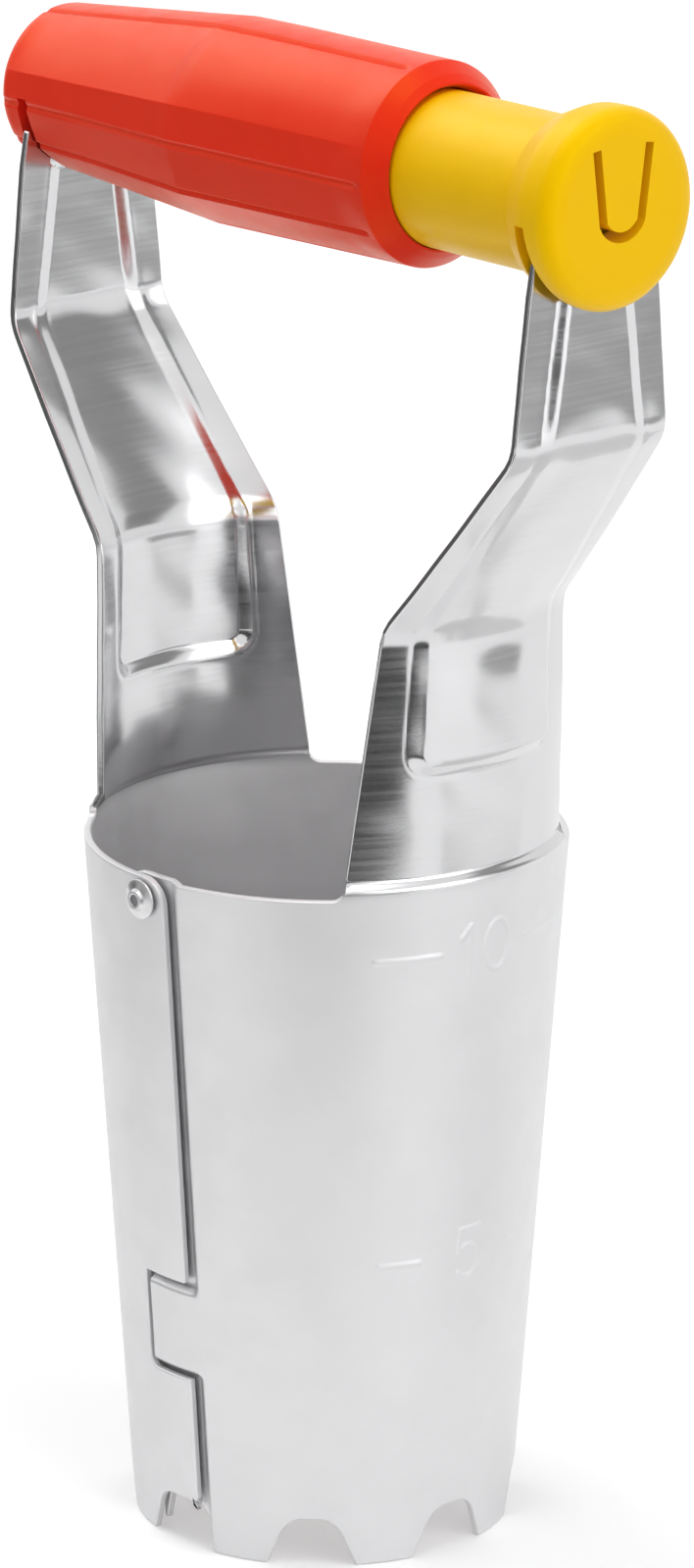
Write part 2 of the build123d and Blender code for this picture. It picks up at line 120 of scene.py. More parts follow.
TONGUE_ROUND = 2.0
LATCH_HOLE = 2.6
CROWN_SPARE = 10.0

# Panel raised on the arms, highest at its lower end and lowest on the slant
PANEL_LOW_DEPTH = 1.05
PANEL_SLANT_DEPTH = 0.28
PANEL_DEPTH = 0.7
PANEL_RISE_BELOW = 6.0
PANEL_RISE_RUN = 14.0
PANEL_LOW_RAMP = 2.3
PANEL_RAMP = 2.8
PANEL_RAMP_OUT_SHARE = 0.72
CREASE_DEPTH = 0.05
CREASE_REACH = 0.5
PANEL_LOW = 128.5
PANEL_TOP = 206.3
PANEL_HALVES = (13.0, 12.2, 8.8, 5.5)
PANEL_TOP_RAMP = 1.2
PANEL_CORNER = 4.0

# Unevenness of the bent sheet: slow waves and puckers, and on the right half softer bends and a dimple
WAVE_DEPTH = 0.05
WAVE_LENGTH = 19.0
WAVE_WIDTH = 15.0
WAVE_SLANT = 0.6
WAVE_PHASE = 0.4
CROSS_WAVE_SHARE = 0.6
CROSS_WAVE_ALONG = 0.7
CROSS_WAVE_ACROSS = 0.5
WAVE_LOW = 118.0
WAVE_HIGH = 202.0
WAVE_FADE = 8.0
PUCKER_DEPTH = 0.22
PUCKER_REACH = 4.0
PUCKER_START = 8.0
PUCKER_WIDTH = 7.0
PUCKER_HALF_WAVES = 1.5
DIMPLE_DEPTH = 0.32
DIMPLE_PLACE = (1.0, 148.0)
DIMPLE_REACH = (6.0, 3.5)
SOFT_BEND_DEPTH = 0.3
SOFT_BEND_REACH = 5.0
SOFT_BEND_HALF = 8.5

# Depth scale on the right half: ticks between angles from its middle, and numerals of strokes
SCALE_RELIEF = 0.14
TEN_HEIGHT = 100.0
TEN_TICK_ANGLES = (13.6, 29.7)
FIVE_HEIGHT = 50.0
FIVE_TICK_ANGLES = (15.6, 27.3)
TICK_HALF = 0.4
TICK_SOFT = 0.35
NUMERAL_STROKE = 0.75
NUMERAL_HALF = 4.0
ONE_PLACE = -3.4
ONE_FLAG_REACH = 1.6
ONE_FLAG_DROP = 1.8
ZERO_PLACE = 2.2
ZERO_HALF = 2.5
FIVE_BAR = (-2.0, 2.2)
FIVE_STEM_FOOT = -2.2
FIVE_WAIST = 0.6
FIVE_BOWL = (-0.2, -1.4)
FIVE_BOWL_RADII = (2.5, 2.6)
FIVE_BOWL_ANGLES = (140, -140)

# Fineness of the sheets' meshes, as steps sideways and upwards, and the places that need fine ones
OUTLINE_STEP = 1.5
GRID_MARGIN = 0.55
EDGE_MARGIN = 1.6
WALL_STEPS = (2.0, 2.0)
FOOT_STEPS = (1.2, 0.35)
PANEL_STEPS = (0.42, 0.6)
TONGUE_STEPS = (1.5, 1.5)
WALL_SPARE = 1.0
ARM_SPARE = 4.0
ZONE_SPARE = 2.0
JOGGLE_STEPS = (0.4, 2.0)
JOGGLE_ZONE_X = (1.0, 11.0)
PAD_STEPS = (0.25, 0.7)
PAD_ZONE_X = (-6.0, 8.0)
TICK_STEPS = (0.5, 0.2)
TICK_ZONE = (8.0, 20.5)
TICK_ZONE_HALF = 1.4
NUMERAL_STEPS = (0.25, 0.25)
NUMERAL_ZONE_HALF = (7.0, 5.2)

# Handle
HANDLE_HEIGHT = 218.0
SMALL_ROUND = 0.4


def wall_radius(height):
    """Outer radius of the tapered wall."""
    return TIP_RADIUS + (RIM_RADIUS - TIP_RADIUS) * height / RIM_HEIGHT


def smooth_step(t):
    """0 below 0, 1 above 1, with level ends."""
    t = np.clip(t, 0.0, 1.0)
    return t * t * (3.0 - 2.0 * t)


def rounded_line(corners):
    """Function x(z) of a line through (z, x, radius) corners, with each inner corner rounded."""
    heights, places, _ = zip(*corners)
    arcs = []
    for before, (z, x, radius), after in zip(corners, corners[1:], corners[2:]):
        here = Vector((z, x))
        into = (here - Vector(before[:2])).normalized()
        out = (Vector(after[:2]) - here).normalized()
        turn = into.angle(out)
        reach = radius * math.tan(turn / 2)
        inward = (out - into).normalized()
        centre = here + inward * (radius / math.cos(turn / 2))
        side = -1.0 if inward.y > 0 else 1.0
        arcs.append(((here - into * reach).x, (here + out * reach).x, centre, radius, side))

    def line(z):
        x = np.interp(z, heights, places)
        for low, high, centre, radius, side in arcs:
            inside = (z > low) & (z < high)
            drop = np.sqrt(np.maximum(radius**2 - (z - centre.x) ** 2, 0.0))
            x = np.where(inside, centre.y + side * drop, x)
        return x

    return line


crown = rounded_line([
    (-CROWN_SPARE, wall_radius(-CROWN_SPARE), 0.0),
    (SHOULDER_HEIGHT, wall_radius(SHOULDER_HEIGHT), SHOULDER_ROUND),
    (SHOULDER_TOP, wall_radius(SHOULDER_HEIGHT) - SHOULDER_INSET, SHOULDER_FOOT_ROUND),
    (LOW_BEND_HEIGHT, LOW_BEND_CROWN, BEND_ROUND),
    (HIGH_BEND_HEIGHT, ARM_TOP_X, BEND_ROUND),
    (TONGUE_TOP + CROWN_SPARE, ARM_TOP_X, 0.0),
])


def panel_half(z):
    """Half width of the raised panel, between its lower end, both bends and its top."""
    heights = [PANEL_LOW, LOW_BEND_HEIGHT, HIGH_BEND_HEIGHT, PANEL_TOP]
    return np.interp(z, heights, PANEL_HALVES)


def panel_depth(z):
    """How far the panel is raised."""
    low = np.interp(z, [PANEL_LOW, LOW_BEND_HEIGHT], [PANEL_LOW_DEPTH, PANEL_SLANT_DEPTH])
    rise = smooth_step((z - HIGH_BEND_HEIGHT + PANEL_RISE_BELOW) / PANEL_RISE_RUN)
    return low + (PANEL_DEPTH - PANEL_SLANT_DEPTH) * rise


def spread_radius(z):
    """Radius that turns the sheet's own sideways coordinate into a distance from the middle."""
    return np.minimum(crown(z), LOW_BEND_CROWN)


def sideways_at_x(x, z):
    """The sheet's own sideways coordinate at this x of the wall, on the +Y side."""
    return float(RIM_RADIUS * np.arccos(x / crown(z)))


def stroke(s, z, ends):
    """Distance from points to a straight stroke between two ends."""
    (s0, z0), (s1, z1) = ends
    ds, dz = s1 - s0, z1 - z0
    along = np.clip(((s - s0) * ds + (z - z0) * dz) / (ds**2 + dz**2), 0, 1)
    return np.hypot(s - s0 - along * ds, z - z0 - along * dz)


def bow(s, z, centre, radii, start, end, count=25):
    """Distance from points to an elliptic arc between two angles in degrees, as short strokes."""
    angles = np.radians(np.linspace(start, end, count))
    points = np.array(centre) + np.array(radii) * np.column_stack((np.cos(angles), np.sin(angles)))
    distances = [stroke(s, z, ends) for ends in zip(points, points[1:])]
    return np.min(distances, axis=0)


def scale_distance(s, z):
    """Distance to the depth scale's ticks and numbers, less each one's half width."""
    marks = []
    for height, angles in ((TEN_HEIGHT, TEN_TICK_ANGLES), (FIVE_HEIGHT, FIVE_TICK_ANGLES)):
        for side in (-1, 1):
            ends = [(side * RIM_RADIUS * math.radians(a), height) for a in angles]
            marks.append(stroke(s, z, ends) - TICK_HALF)
    half = NUMERAL_STROKE / 2
    bottom, top = TEN_HEIGHT - NUMERAL_HALF, TEN_HEIGHT + NUMERAL_HALF
    flag = (ONE_PLACE - ONE_FLAG_REACH, top - ONE_FLAG_DROP)
    bar = [(place, FIVE_HEIGHT + NUMERAL_HALF) for place in FIVE_BAR]
    stem = [bar[0], (FIVE_STEM_FOOT, FIVE_HEIGHT + FIVE_WAIST)]
    for ends in ([(ONE_PLACE, bottom), (ONE_PLACE, top)], [(ONE_PLACE, top), flag], bar, stem):
        marks.append(stroke(s, z, ends) - half)
    bowl = (FIVE_BOWL[0], FIVE_HEIGHT + FIVE_BOWL[1])
    marks.append(bow(s, z, (ZERO_PLACE, TEN_HEIGHT), (ZERO_HALF, NUMERAL_HALF), 0, 360) - half)
    marks.append(bow(s, z, bowl, FIVE_BOWL_RADII, *FIVE_BOWL_ANGLES) - half)
    return np.min(marks, axis=0)


def window_pad(x, z):
    """How far the lapped sheet is pressed out again in the window of the sheet above it."""
    beside = smooth_step((x + WINDOW_REACH - PAD_GAP) / PAD_RAMP)
    ends = np.minimum(z - WINDOW_LOW, WINDOW_HIGH - z)
    return PAD_SHARE * beside * smooth_step((ends - PAD_END_GAP) / PAD_END_RAMP)


def base_point(s, z, lapped):
    """Point of the outer face before anything is stamped into it."""
    angle = s / RIM_RADIUS
    radius = crown(z)
    y = spread_radius(z) * np.sin(angle)
    flattening = np.interp(z, [LOW_BEND_HEIGHT, HIGH_BEND_HEIGHT, NECK_HEIGHT],
                           [1.0 / LOW_BEND_CROWN, 1.0 / UPRIGHT_CROWNING, 0.0])
    on_wall = z < LOW_BEND_HEIGHT
    curve = np.where(on_wall, 1.0 / spread_radius(z), flattening)
    root = np.where(on_wall, np.cos(angle), np.sqrt(np.maximum(1.0 - (curve * y) ** 2, 0.0)))
    x = radius - curve * y**2 / (1.0 + root)
    if lapped:
        joggle = smooth_step((JOGGLE_END - x) / (JOGGLE_END - JOGGLE_START))
        drop = LAP_DROP * joggle * (1 - window_pad(x, z))
        shrink = np.where(z < JOGGLE_TOP, 1.0 - drop / radius, 1.0)
        x, y = x * shrink, y * shrink
    return np.stack((x, y, z), axis=-1)


def face_normal(point, s, z, step=0.04):
    """Unit normal of a face given as a function of its own coordinates."""
    across = point(s + step, z) - point(s - step, z)
    upward = point(s, z + step) - point(s, z - step)
    normal = np.cross(across, upward)
    return normal / np.linalg.norm(normal, axis=-1, keepdims=True)


def unevenness(y, z, marked):
    """Height of the arm's waves and puckers and, on the marked half, of softer bends and a dimple."""
    share = smooth_step((z - WAVE_LOW) / WAVE_FADE) * smooth_step((WAVE_HIGH - z) / WAVE_FADE)
    across, along = 2 * math.pi * y / WAVE_WIDTH, 2 * math.pi * z / WAVE_LENGTH
    waves = np.sin(across + WAVE_SLANT * along) * np.cos(along + WAVE_PHASE)
    waves += CROSS_WAVE_SHARE * np.sin(CROSS_WAVE_ALONG * along - CROSS_WAVE_ACROSS * across)
    flange = np.clip((np.abs(y) - PUCKER_START) / PUCKER_WIDTH, 0, PUCKER_HALF_WAVES)
    pucker = np.exp(-(((z - HIGH_BEND_HEIGHT) / PUCKER_REACH) ** 2))
    height = WAVE_DEPTH * waves + PUCKER_DEPTH * np.sin(math.pi * flange) * pucker
    if marked:
        bends = [LOW_BEND_HEIGHT, HIGH_BEND_HEIGHT]
        low_bend, high_bend = (np.exp(-((z - bend) / SOFT_BEND_REACH) ** 2) for bend in bends)
        middle = smooth_step(1 - (y / SOFT_BEND_HALF) ** 2)
        height += SOFT_BEND_DEPTH * middle * (low_bend - high_bend)
        beside = (y - DIMPLE_PLACE[0]) / DIMPLE_REACH[0]
        above = (z - DIMPLE_PLACE[1]) / DIMPLE_REACH[1]
        height -= DIMPLE_DEPTH * np.exp(-(beside**2) - above**2)
    return share * height


def relief(s, z, marked):
    """Height of what is stamped outwards: the arm's panel and, on the marked half, the depth scale."""
    offset = spread_radius(z) * np.sin(np.clip(s / RIM_RADIUS, -math.pi / 2, math.pi / 2))
    y = np.abs(offset)
    ramp = np.interp(z, [LOW_BEND_HEIGHT, HIGH_BEND_HEIGHT], [PANEL_LOW_RAMP, PANEL_RAMP])
    beside = panel_half(z) + PANEL_RAMP_OUT_SHARE * ramp - y
    above = z - PANEL_LOW
    short = np.hypot(np.maximum(PANEL_CORNER - beside, 0), np.maximum(PANEL_CORNER - above, 0))
    below_top = (PANEL_TOP - z) * ramp / PANEL_TOP_RAMP
    inside = np.minimum.reduce([PANEL_CORNER - short, beside, above, below_top])
    crease = CREASE_DEPTH * np.exp(-((inside / CREASE_REACH) ** 2))
    height = panel_depth(z) * smooth_step(inside / ramp) - crease + unevenness(offset, z, marked)
    if marked:
        height = height + SCALE_RELIEF * smooth_step(0.5 - scale_distance(s, z) / (2 * TICK_SOFT))
    return height


def round_corners(corners, turns=7):
    """Closed outline through (s, z, radius) corners, with the corners rounded by arcs."""
    points = []
    count = len(corners)
    for i, (s, z, radius) in enumerate(corners):
        here = np.array((s, z))
        if radius <= 0:
            points.append(here)
            continue
        before = np.array(corners[i - 1][:2]) - here
        after = np.array(corners[(i + 1) % count][:2]) - here
        before, after = before / np.linalg.norm(before), after / np.linalg.norm(after)
        half = math.acos(np.clip(before @ after, -1, 1)) / 2
        middle = (before + after) / np.linalg.norm(before + after)
        centre = here + middle * radius / math.sin(half)
        start = here + before * radius / math.tan(half) - centre
        end = here + after * radius / math.tan(half) - centre
        swing = math.atan2(start[0] * end[1] - start[1] * end[0], start @ end)
        for k in range(turns + 1):
            c, d = math.cos(swing * k / turns), math.sin(swing * k / turns)
            points.append(centre + np.array((c * start[0] - d * start[1], d * start[0] + c * start[1])))
    return np.array(points)


def runs(outline):
    """Pairs of neighbouring points of a closed outline."""
    return zip(outline, np.roll(outline, -1, axis=0))


def divided(outline, step):
    """Closed outline with its long runs divided."""
    points = []
    for start, end in runs(outline):
        count = max(1, math.ceil(np.linalg.norm(end - start) / step))
        for k in range(count):
            points.append(start + (end - start) * k / count)
    return np.array(points)


def tooth_edge(last):
    """Corners of the lower edge from the middle of the half to the sideways coordinate last."""
    corners = []
    pitch = 2 * math.pi / TOOTH_COUNT
    slope = (GAP_MOUTH - GAP_TOP) / GAP_HEIGHT
    mouth = RIM_RADIUS * math.asin(GAP_MOUTH / wall_radius(0))
    top = RIM_RADIUS * math.asin(GAP_TOP / wall_radius(GAP_HEIGHT))
    seam_gap = TOOTH_COUNT // 4
    for gap in range(seam_gap + 1):
        middle = RIM_RADIUS * gap * pitch
        if gap > 0:
            corners.append((middle - mouth, 0.0, TOOTH_ROUND))
            corners.append((middle - top, GAP_HEIGHT, GAP_ROUND))
        if middle + top < last:
            corners.append((middle + top, GAP_HEIGHT, GAP_ROUND if gap < seam_gap else SEAM_GAP_ROUND))
        if middle + mouth < last:
            corners.append((middle + mouth, 0.0, TOOTH_ROUND))
    reach = (last - middle) * wall_radius(GAP_HEIGHT) / RIM_RADIUS
    corners.append((last, min(GAP_HEIGHT, (GAP_MOUTH - reach) / slope), TOOTH_ROUND))
    return corners


def wall_corner(x, z, radius):
    """Corner of the outline at this x of the wall."""
    return (sideways_at_x(x, z), float(z), radius)


def arm_corner(y, z, radius):
    """Corner of the outline at this distance from the arm's middle."""
    return (float(RIM_RADIUS * np.arcsin(y / spread_radius(z))), z, radius)


def free_edge(x, low, high, count=12):
    """Corners of a free edge at a steady x, between two heights, without its ends."""
    heights = np.linspace(low, high, count + 2)[1:-1]
    return [wall_corner(x, z, 0.0) for z in heights]


def half_outline(edge_x, ear_round, window):
    """Outline of one half's sheet, from the middle of its teeth round by the +Y side."""
    side = tooth_edge(sideways_at_x(edge_x, GAP_HEIGHT))
    if window:
        side += free_edge(edge_x, side[-1][1], WINDOW_LOW)
        side += [
            wall_corner(edge_x, WINDOW_LOW, WINDOW_CORNER),
            wall_corner(WINDOW_REACH, WINDOW_LOW, WINDOW_ROUND),
            wall_corner(WINDOW_REACH, WINDOW_HIGH, WINDOW_CORNER),
            wall_corner(edge_x, WINDOW_HIGH, WINDOW_CORNER),
        ]
    side += free_edge(edge_x, side[-1][1], RIM_HEIGHT - ear_round - EAR_GAP)
    side += [
        wall_corner(edge_x, RIM_HEIGHT, ear_round),
        arm_corner(PLATE_HALF, RIM_HEIGHT, PLATE_CORNER),
        arm_corner(LOW_BEND_HALF, LOW_BEND_HEIGHT, BEND_EDGE_ROUND),
        arm_corner(HIGH_BEND_HALF, HIGH_BEND_HEIGHT, BEND_EDGE_ROUND),
        arm_corner(NECK_HALF, NECK_HEIGHT, NECK_ROUND),
        arm_corner(ARM_SHOULDER_HALF, ARM_SHOULDER_HEIGHT, ARM_SHOULDER_ROUND),
        arm_corner(TONGUE_HALF, ARM_SHOULDER_HEIGHT, ARM_SHOULDER_ROUND),
        arm_corner(TONGUE_HALF, TONGUE_TOP, TONGUE_ROUND),
    ]
    other = [(-s, z, radius) for s, z, radius in reversed(side)]
    return divided(round_corners(side + other), OUTLINE_STEP)


def even_angles(count):
    """Angles of a full turn, evenly spaced."""
    return np.linspace(0, 2 * math.pi, count, endpoint=False)


def circle_loop(s, z, radius, count=28):
    """Outline of a round hole."""
    angles = even_angles(count)
    return np.column_stack((s + radius * np.cos(angles), z + radius * np.sin(angles)))


def inside_loop(points, loop):
    """Which points lie inside a closed outline."""
    inside = np.zeros(len(points), bool)
    for (s0, z0), (s1, z1) in runs(loop):
        crosses = (z0 > points[:, 1]) != (z1 > points[:, 1])
        if z0 != z1:
            inside ^= crosses & (points[:, 0] < s0 + (points[:, 1] - z0) * (s1 - s0) / (z1 - z0))
    return inside


def clear_of(points, loop, distance):
    """Which points keep a distance from an outline."""
    clear = np.ones(len(points), bool)
    for start, end in runs(loop):
        clear &= stroke(points[:, 0], points[:, 1], (start, end)) > distance
    return clear


def inner_points(outline, holes, zones):
    """Grid points inside the sheet. Each zone is (low s, high s, low z, high z, step s, step z)."""
    kept = []
    for i, (s0, s1, z0, z1, ds, dz) in enumerate(zones):
        columns = np.linspace(s0, s1, max(2, round((s1 - s0) / ds) + 1))
        rows = np.linspace(z0, z1, max(2, round((z1 - z0) / dz) + 1))
        grid = np.array(np.meshgrid(columns, rows)).reshape(2, -1).T
        for a, b, c, d, es, ez in zones[i + 1:]:
            beside = (grid[:, 0] > a - es) & (grid[:, 0] < b + es)
            level = (grid[:, 1] > c - ez) & (grid[:, 1] < d + ez)
            grid = grid[~(beside & level)]
        grid = grid[inside_loop(grid, outline)]
        margin = max(GRID_MARGIN * min(ds, dz), EDGE_MARGIN * EDGE_ROUND)
        for loop in [outline, *holes]:
            grid = grid[clear_of(grid, loop, margin)]
        for loop in holes:
            grid = grid[~inside_loop(grid, loop)]
        kept.append(grid)
    return np.concatenate(kept)


def sheet_triangles(outline, holes, zones):
    """Flat triangles of the sheet: their points, in its own coordinates, and corner indices."""
    loops = [outline, *holes]
    points = np.concatenate([*loops, inner_points(outline, holes, zones)])
    edges, first = [], 0
    for loop in loops:
        count = len(loop)
        edges += [(first + k, first + (k + 1) % count) for k in range(count)]
        first += count
    flat = [Vector(point) for point in points.tolist()]
    corners, _, faces, *_ = delaunay_2d_cdt(flat, edges, [], 1, TINY)
    points = np.array([tuple(corner) for corner in corners])
    faces = np.array(faces)
    middles = points[faces].mean(axis=1)
    for loop in holes:
        outside = ~inside_loop(middles, loop)
        faces, middles = faces[outside], middles[outside]
    a, b, c = (points[faces[:, k]] for k in range(3))
    backward = (b - a)[:, 0] * (c - a)[:, 1] - (b - a)[:, 1] * (c - a)[:, 0] < 0
    faces[backward] = faces[backward][:, ::-1]
    return points, faces


def border_runs(faces):
    """Border edges of the triangles, as pairs (from, to) with the sheet on their left."""
    edges = np.concatenate([faces[:, [0, 1]], faces[:, [1, 2]], faces[:, [2, 0]]])
    present = {tuple(e) for e in edges}
    return [e for e in present if (e[1], e[0]) not in present]


def mesh_of(name, points, faces):
    """Mesh from points in millimetres."""
    mesh = bpy.data.meshes.new(name)
    mesh.from_pydata([tuple(MM * c for c in point) for point in points], [], faces)
    return mesh


def placed(name, data):
    """New object of the scene."""
    piece = bpy.data.objects.new(name, data)
    bpy.context.scene.collection.objects.link(piece)
    return piece


def sheet_piece(name, outline, holes, zones, point, mirrored):
    """Sheet of metal with rounded edges: outer and inner face and the border between them."""
    places, faces = sheet_triangles(outline, holes, zones)
    s, z = places[:, 0], places[:, 1]
    outer = point(s, z)
    normal = face_normal(point, s, z)
    count = len(outer)
    border = border_runs(faces)
    outward = np.zeros((count, 3))
    for start, end in border:
        along = outer[end] - outer[start]
        out = np.cross(along, normal[start] + normal[end])
        out /= np.linalg.norm(out)
        outward[start] += out
        outward[end] += out
    rim = np.array(sorted({i for e in border for i in e}))
    outward[rim] /= np.linalg.norm(outward[rim], axis=1, keepdims=True)
    rows = [outer - EDGE_ROUND * outward]
    normals = [normal]
    slant = math.sqrt(0.5)
    near = EDGE_ROUND * (1 - slant)
    depths = (near, EDGE_ROUND, SHEET - EDGE_ROUND, SHEET - near)
    for tilt, depth in zip((slant, 0, 0, -slant), depths):
        reach = math.sqrt(1 - tilt**2)
        rows.append((outer - EDGE_ROUND * (1 - reach) * outward - depth * normal)[rim])
        normals.append((reach * outward + tilt * normal)[rim])
    rows.append(outer - SHEET * normal - EDGE_ROUND * outward)
    normals.append(-normal)
    place_in_rim = np.zeros(count, int)
    place_in_rim[rim] = np.arange(len(rim))
    between = len(rows) - 2
    rings = [np.arange(count)]
    rings += [count + k * len(rim) + place_in_rim for k in range(between)]
    rings.append(count + between * len(rim) + rings[0])
    polygons = [*faces.tolist(), *rings[-1][faces[:, ::-1]].tolist()]
    for start, end in border:
        for ring, below in zip(rings, rings[1:]):
            polygons.append((ring[end], ring[start], below[start], below[end]))
    vertices = np.concatenate(rows)
    normals = np.concatenate(normals)
    if mirrored:
        vertices[:, 0] *= -1
        normals[:, 0] *= -1
        polygons = [f[::-1] for f in polygons]
    mesh = mesh_of(name, vertices.tolist(), polygons)
    mesh.shade_smooth()
    mesh.normals_split_custom_set_from_vertices(normals.tolist())
    return placed(name, mesh)


def mesh_zones(lapped):
    """Zones of a half's mesh, with finer ones at the joggles and the depth scale of the lapped half."""
    reach = sideways_at_x(-LAP_REACH, RIM_HEIGHT) + WALL_SPARE
    arm = PLATE_HALF + ARM_SPARE
    panel_low, panel_high = PANEL_LOW - ZONE_SPARE, NECK_HEIGHT + ZONE_SPARE
    zones = [
        (-reach, reach, 0.0, RIM_HEIGHT, *WALL_STEPS),
        (-arm, arm, RIM_HEIGHT - ZONE_SPARE, panel_low, *FOOT_STEPS),
        (-arm, arm, panel_low, panel_high, *PANEL_STEPS),
        (-arm, arm, panel_high, TONGUE_TOP, *TONGUE_STEPS),
    ]
    if not lapped:
        return zones
    marks = (TEN_HEIGHT, FIVE_HEIGHT)
    for side in (-1, 1):
        ends = sorted(side * sideways_at_x(x, RIM_HEIGHT / 2) for x in JOGGLE_ZONE_X)
        zones.append((*ends, 0.0, RIM_HEIGHT, *JOGGLE_STEPS))
        ends = sorted(side * sideways_at_x(x, WINDOW_LOW) for x in PAD_ZONE_X)
        zones.append((*ends, WINDOW_LOW, WINDOW_HIGH, *PAD_STEPS))
        ends = sorted(side * place for place in TICK_ZONE)
        for z in marks:
            zones.append((*ends, z - TICK_ZONE_HALF, z + TICK_ZONE_HALF, *TICK_STEPS))
    half, tall = NUMERAL_ZONE_HALF
    for z in marks:
        zones.append((-half, half, z - tall, z + tall, *NUMERAL_STEPS))
    return zones


def make_half(body, edge_x, ear_round, hole, lapped):
    """Stamped half: the right one, lapped by the other and marked, or the mirrored left one."""
    def surface(s, z):
        return base_point(s, z, lapped)

    def stamped(s, z):
        return surface(s, z) + relief(s, z, lapped)[:, None] * face_normal(surface, s, z)

    far = sideways_at_x(0.0, HINGE_HEIGHT)
    holes = [circle_loop(side * far, HINGE_HEIGHT, hole) for side in (-1, 1)]
    holes.append(circle_loop(0.0, HANDLE_HEIGHT, LATCH_HOLE))
    outline = half_outline(edge_x, ear_round, window=not lapped)
    zones = mesh_zones(lapped)
    piece = sheet_piece(f"{body}_sheet", outline, holes, zones, stamped, mirrored=not lapped)
    hand_over(piece, f"{body}_half", body)
    return piece


def bridges(rows):
    """Faces between neighbouring rows of points, each a closed ring."""
    faces = []
    for row, after in zip(rows, rows[1:]):
        for k in range(len(row)):
            n = (k + 1) % len(row)
            faces.append(tuple(dict.fromkeys((row[k], row[n], after[n], after[k]))))
    return faces


def turned(name, profile, place, angles, shape=None):
    """Piece of rings about an axis. The profile holds (place along the axis, radius) points."""
    count = len(angles)
    vertices, rows = [], []
    for along, radius in profile:
        first = len(vertices)
        if radius < TINY:
            vertices.append(place(along, 0.0, 0.0))
            rows.append([first] * count)
            continue
        radii = np.full(count, radius) if shape is None else shape(along, radius, angles)
        vertices += [place(along, r * math.cos(a), r * math.sin(a)) for r, a in zip(radii, angles)]
        rows.append(list(range(first, first + count)))
    if profile[0][1] > TINY:
        rows.append(rows[0])
    return solid(name, vertices, bridges(rows))


def prism(outline, low, high, place, far_outline=None):
    """Tool between a closed outline and the same one, or another with as many points, along an axis."""
    count = len(outline)
    far_outline = outline if far_outline is None else far_outline
    vertices = [place(u, v, low) for u, v in outline] + [place(u, v, high) for u, v in far_outline]
    polygons = [tuple(range(count)), tuple(range(2 * count - 1, count - 1, -1))]
    polygons += [(k, k + count, (k + 1) % count + count, (k + 1) % count) for k in range(count)]
    return solid("tool", vertices, polygons)


def solid(name, vertices, polygons):
    """Closed mesh piece from points in millimetres, with its faces turned outwards."""
    mesh = mesh_of(name, vertices, polygons)
    work = bmesh.new()
    work.from_mesh(mesh)
    bmesh.ops.recalc_face_normals(work, faces=work.faces)
    work.to_mesh(mesh)
    work.free()
    return placed(name, mesh)


def combine(piece, cuts, additions):
    """Cuts tools out of a piece and joins others to it."""
    for operation, tools in (("DIFFERENCE", cuts), ("UNION", additions)):
        for tool in tools:
            modifier = piece.modifiers.new(operation, "BOOLEAN")
            modifier.operation = operation
            modifier.solver = "EXACT"
            modifier.object = tool
    evaluated = piece.evaluated_get(bpy.context.evaluated_depsgraph_get())
    mesh = bpy.data.meshes.new_from_object(evaluated)
    piece.modifiers.clear()
    piece.data = mesh
    for tool in [*cuts, *additions]:
        bpy.data.objects.remove(tool)


def smooth(piece, angle):
    """Smooth shading, with edges sharper than an angle kept."""
    piece.data.shade_smooth()
    piece.data.set_sharp_from_angle(angle=math.radians(angle))


def hand_over(piece, node, body):
    """Puts a piece in the place of a solid."""
    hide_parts(node)
    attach(piece, body)


right_sheet = make_half("right", -LAP_REACH, LAP_EAR_ROUND, RIGHT_HOLE, lapped=True)
left_sheet = make_half("left", -LAP_EDGE, EAR_ROUND, LEFT_HOLE, lapped=False)

# Rivets, sizes outwards along the hinge axis
RIVET_RADIUS = 1.6
RIVET_BORE = 0.92
HEAD_RADIUS = 3.1
HEAD_SEAT = 37.465
HEAD_FACE = 38.365
HUB_RADIUS = 1.45
HUB_FACE = 38.865
BULB_RADIUS = 2.5
BULB_SEAT = 33.78
BULB_END = 31.98
BULB_ROUND = 0.7
HEAD_EDGE = 0.4
HEAD_FOOT_ROUND = 0.15
HEAD_ROUND = 0.22
HUB_FLARE = 0.3
HUB_FOOT_ROUND = 0.3
HUB_ROUND = 0.2
BORE_ROUND = 0.12


def make_rivet(seam, side):
    """Set blind rivet with a domed head and a raised hub round the mandrel's stub."""
    def place(along, u, v):
        return (u, side * along, HINGE_HEIGHT + v)

    profile = round_corners([
        (BULB_END, RIVET_BORE, 0.0),
        (BULB_END, BULB_RADIUS, BULB_ROUND),
        (BULB_SEAT, BULB_RADIUS, BULB_ROUND),
        (BULB_SEAT, RIVET_RADIUS, 0.0),
        (HEAD_SEAT, RIVET_RADIUS, 0.0),
        (HEAD_SEAT, HEAD_RADIUS, HEAD_FOOT_ROUND),
        (HEAD_SEAT + HEAD_EDGE, HEAD_RADIUS, HEAD_ROUND),
        (HEAD_FACE, HUB_RADIUS + HUB_FLARE, HUB_FOOT_ROUND),
        (HUB_FACE, HUB_RADIUS, HUB_ROUND),
        (HUB_FACE, RIVET_BORE, BORE_ROUND),
    ], turns=4)
    piece = turned(f"{seam}_rivet_set", profile, place, even_angles(count=48))
    smooth(piece, angle=35)
    hand_over(piece, f"{seam}_rivet", "right")
    return piece


front_rivet = make_rivet("front", -1)
rear_rivet = make_rivet("rear", 1)

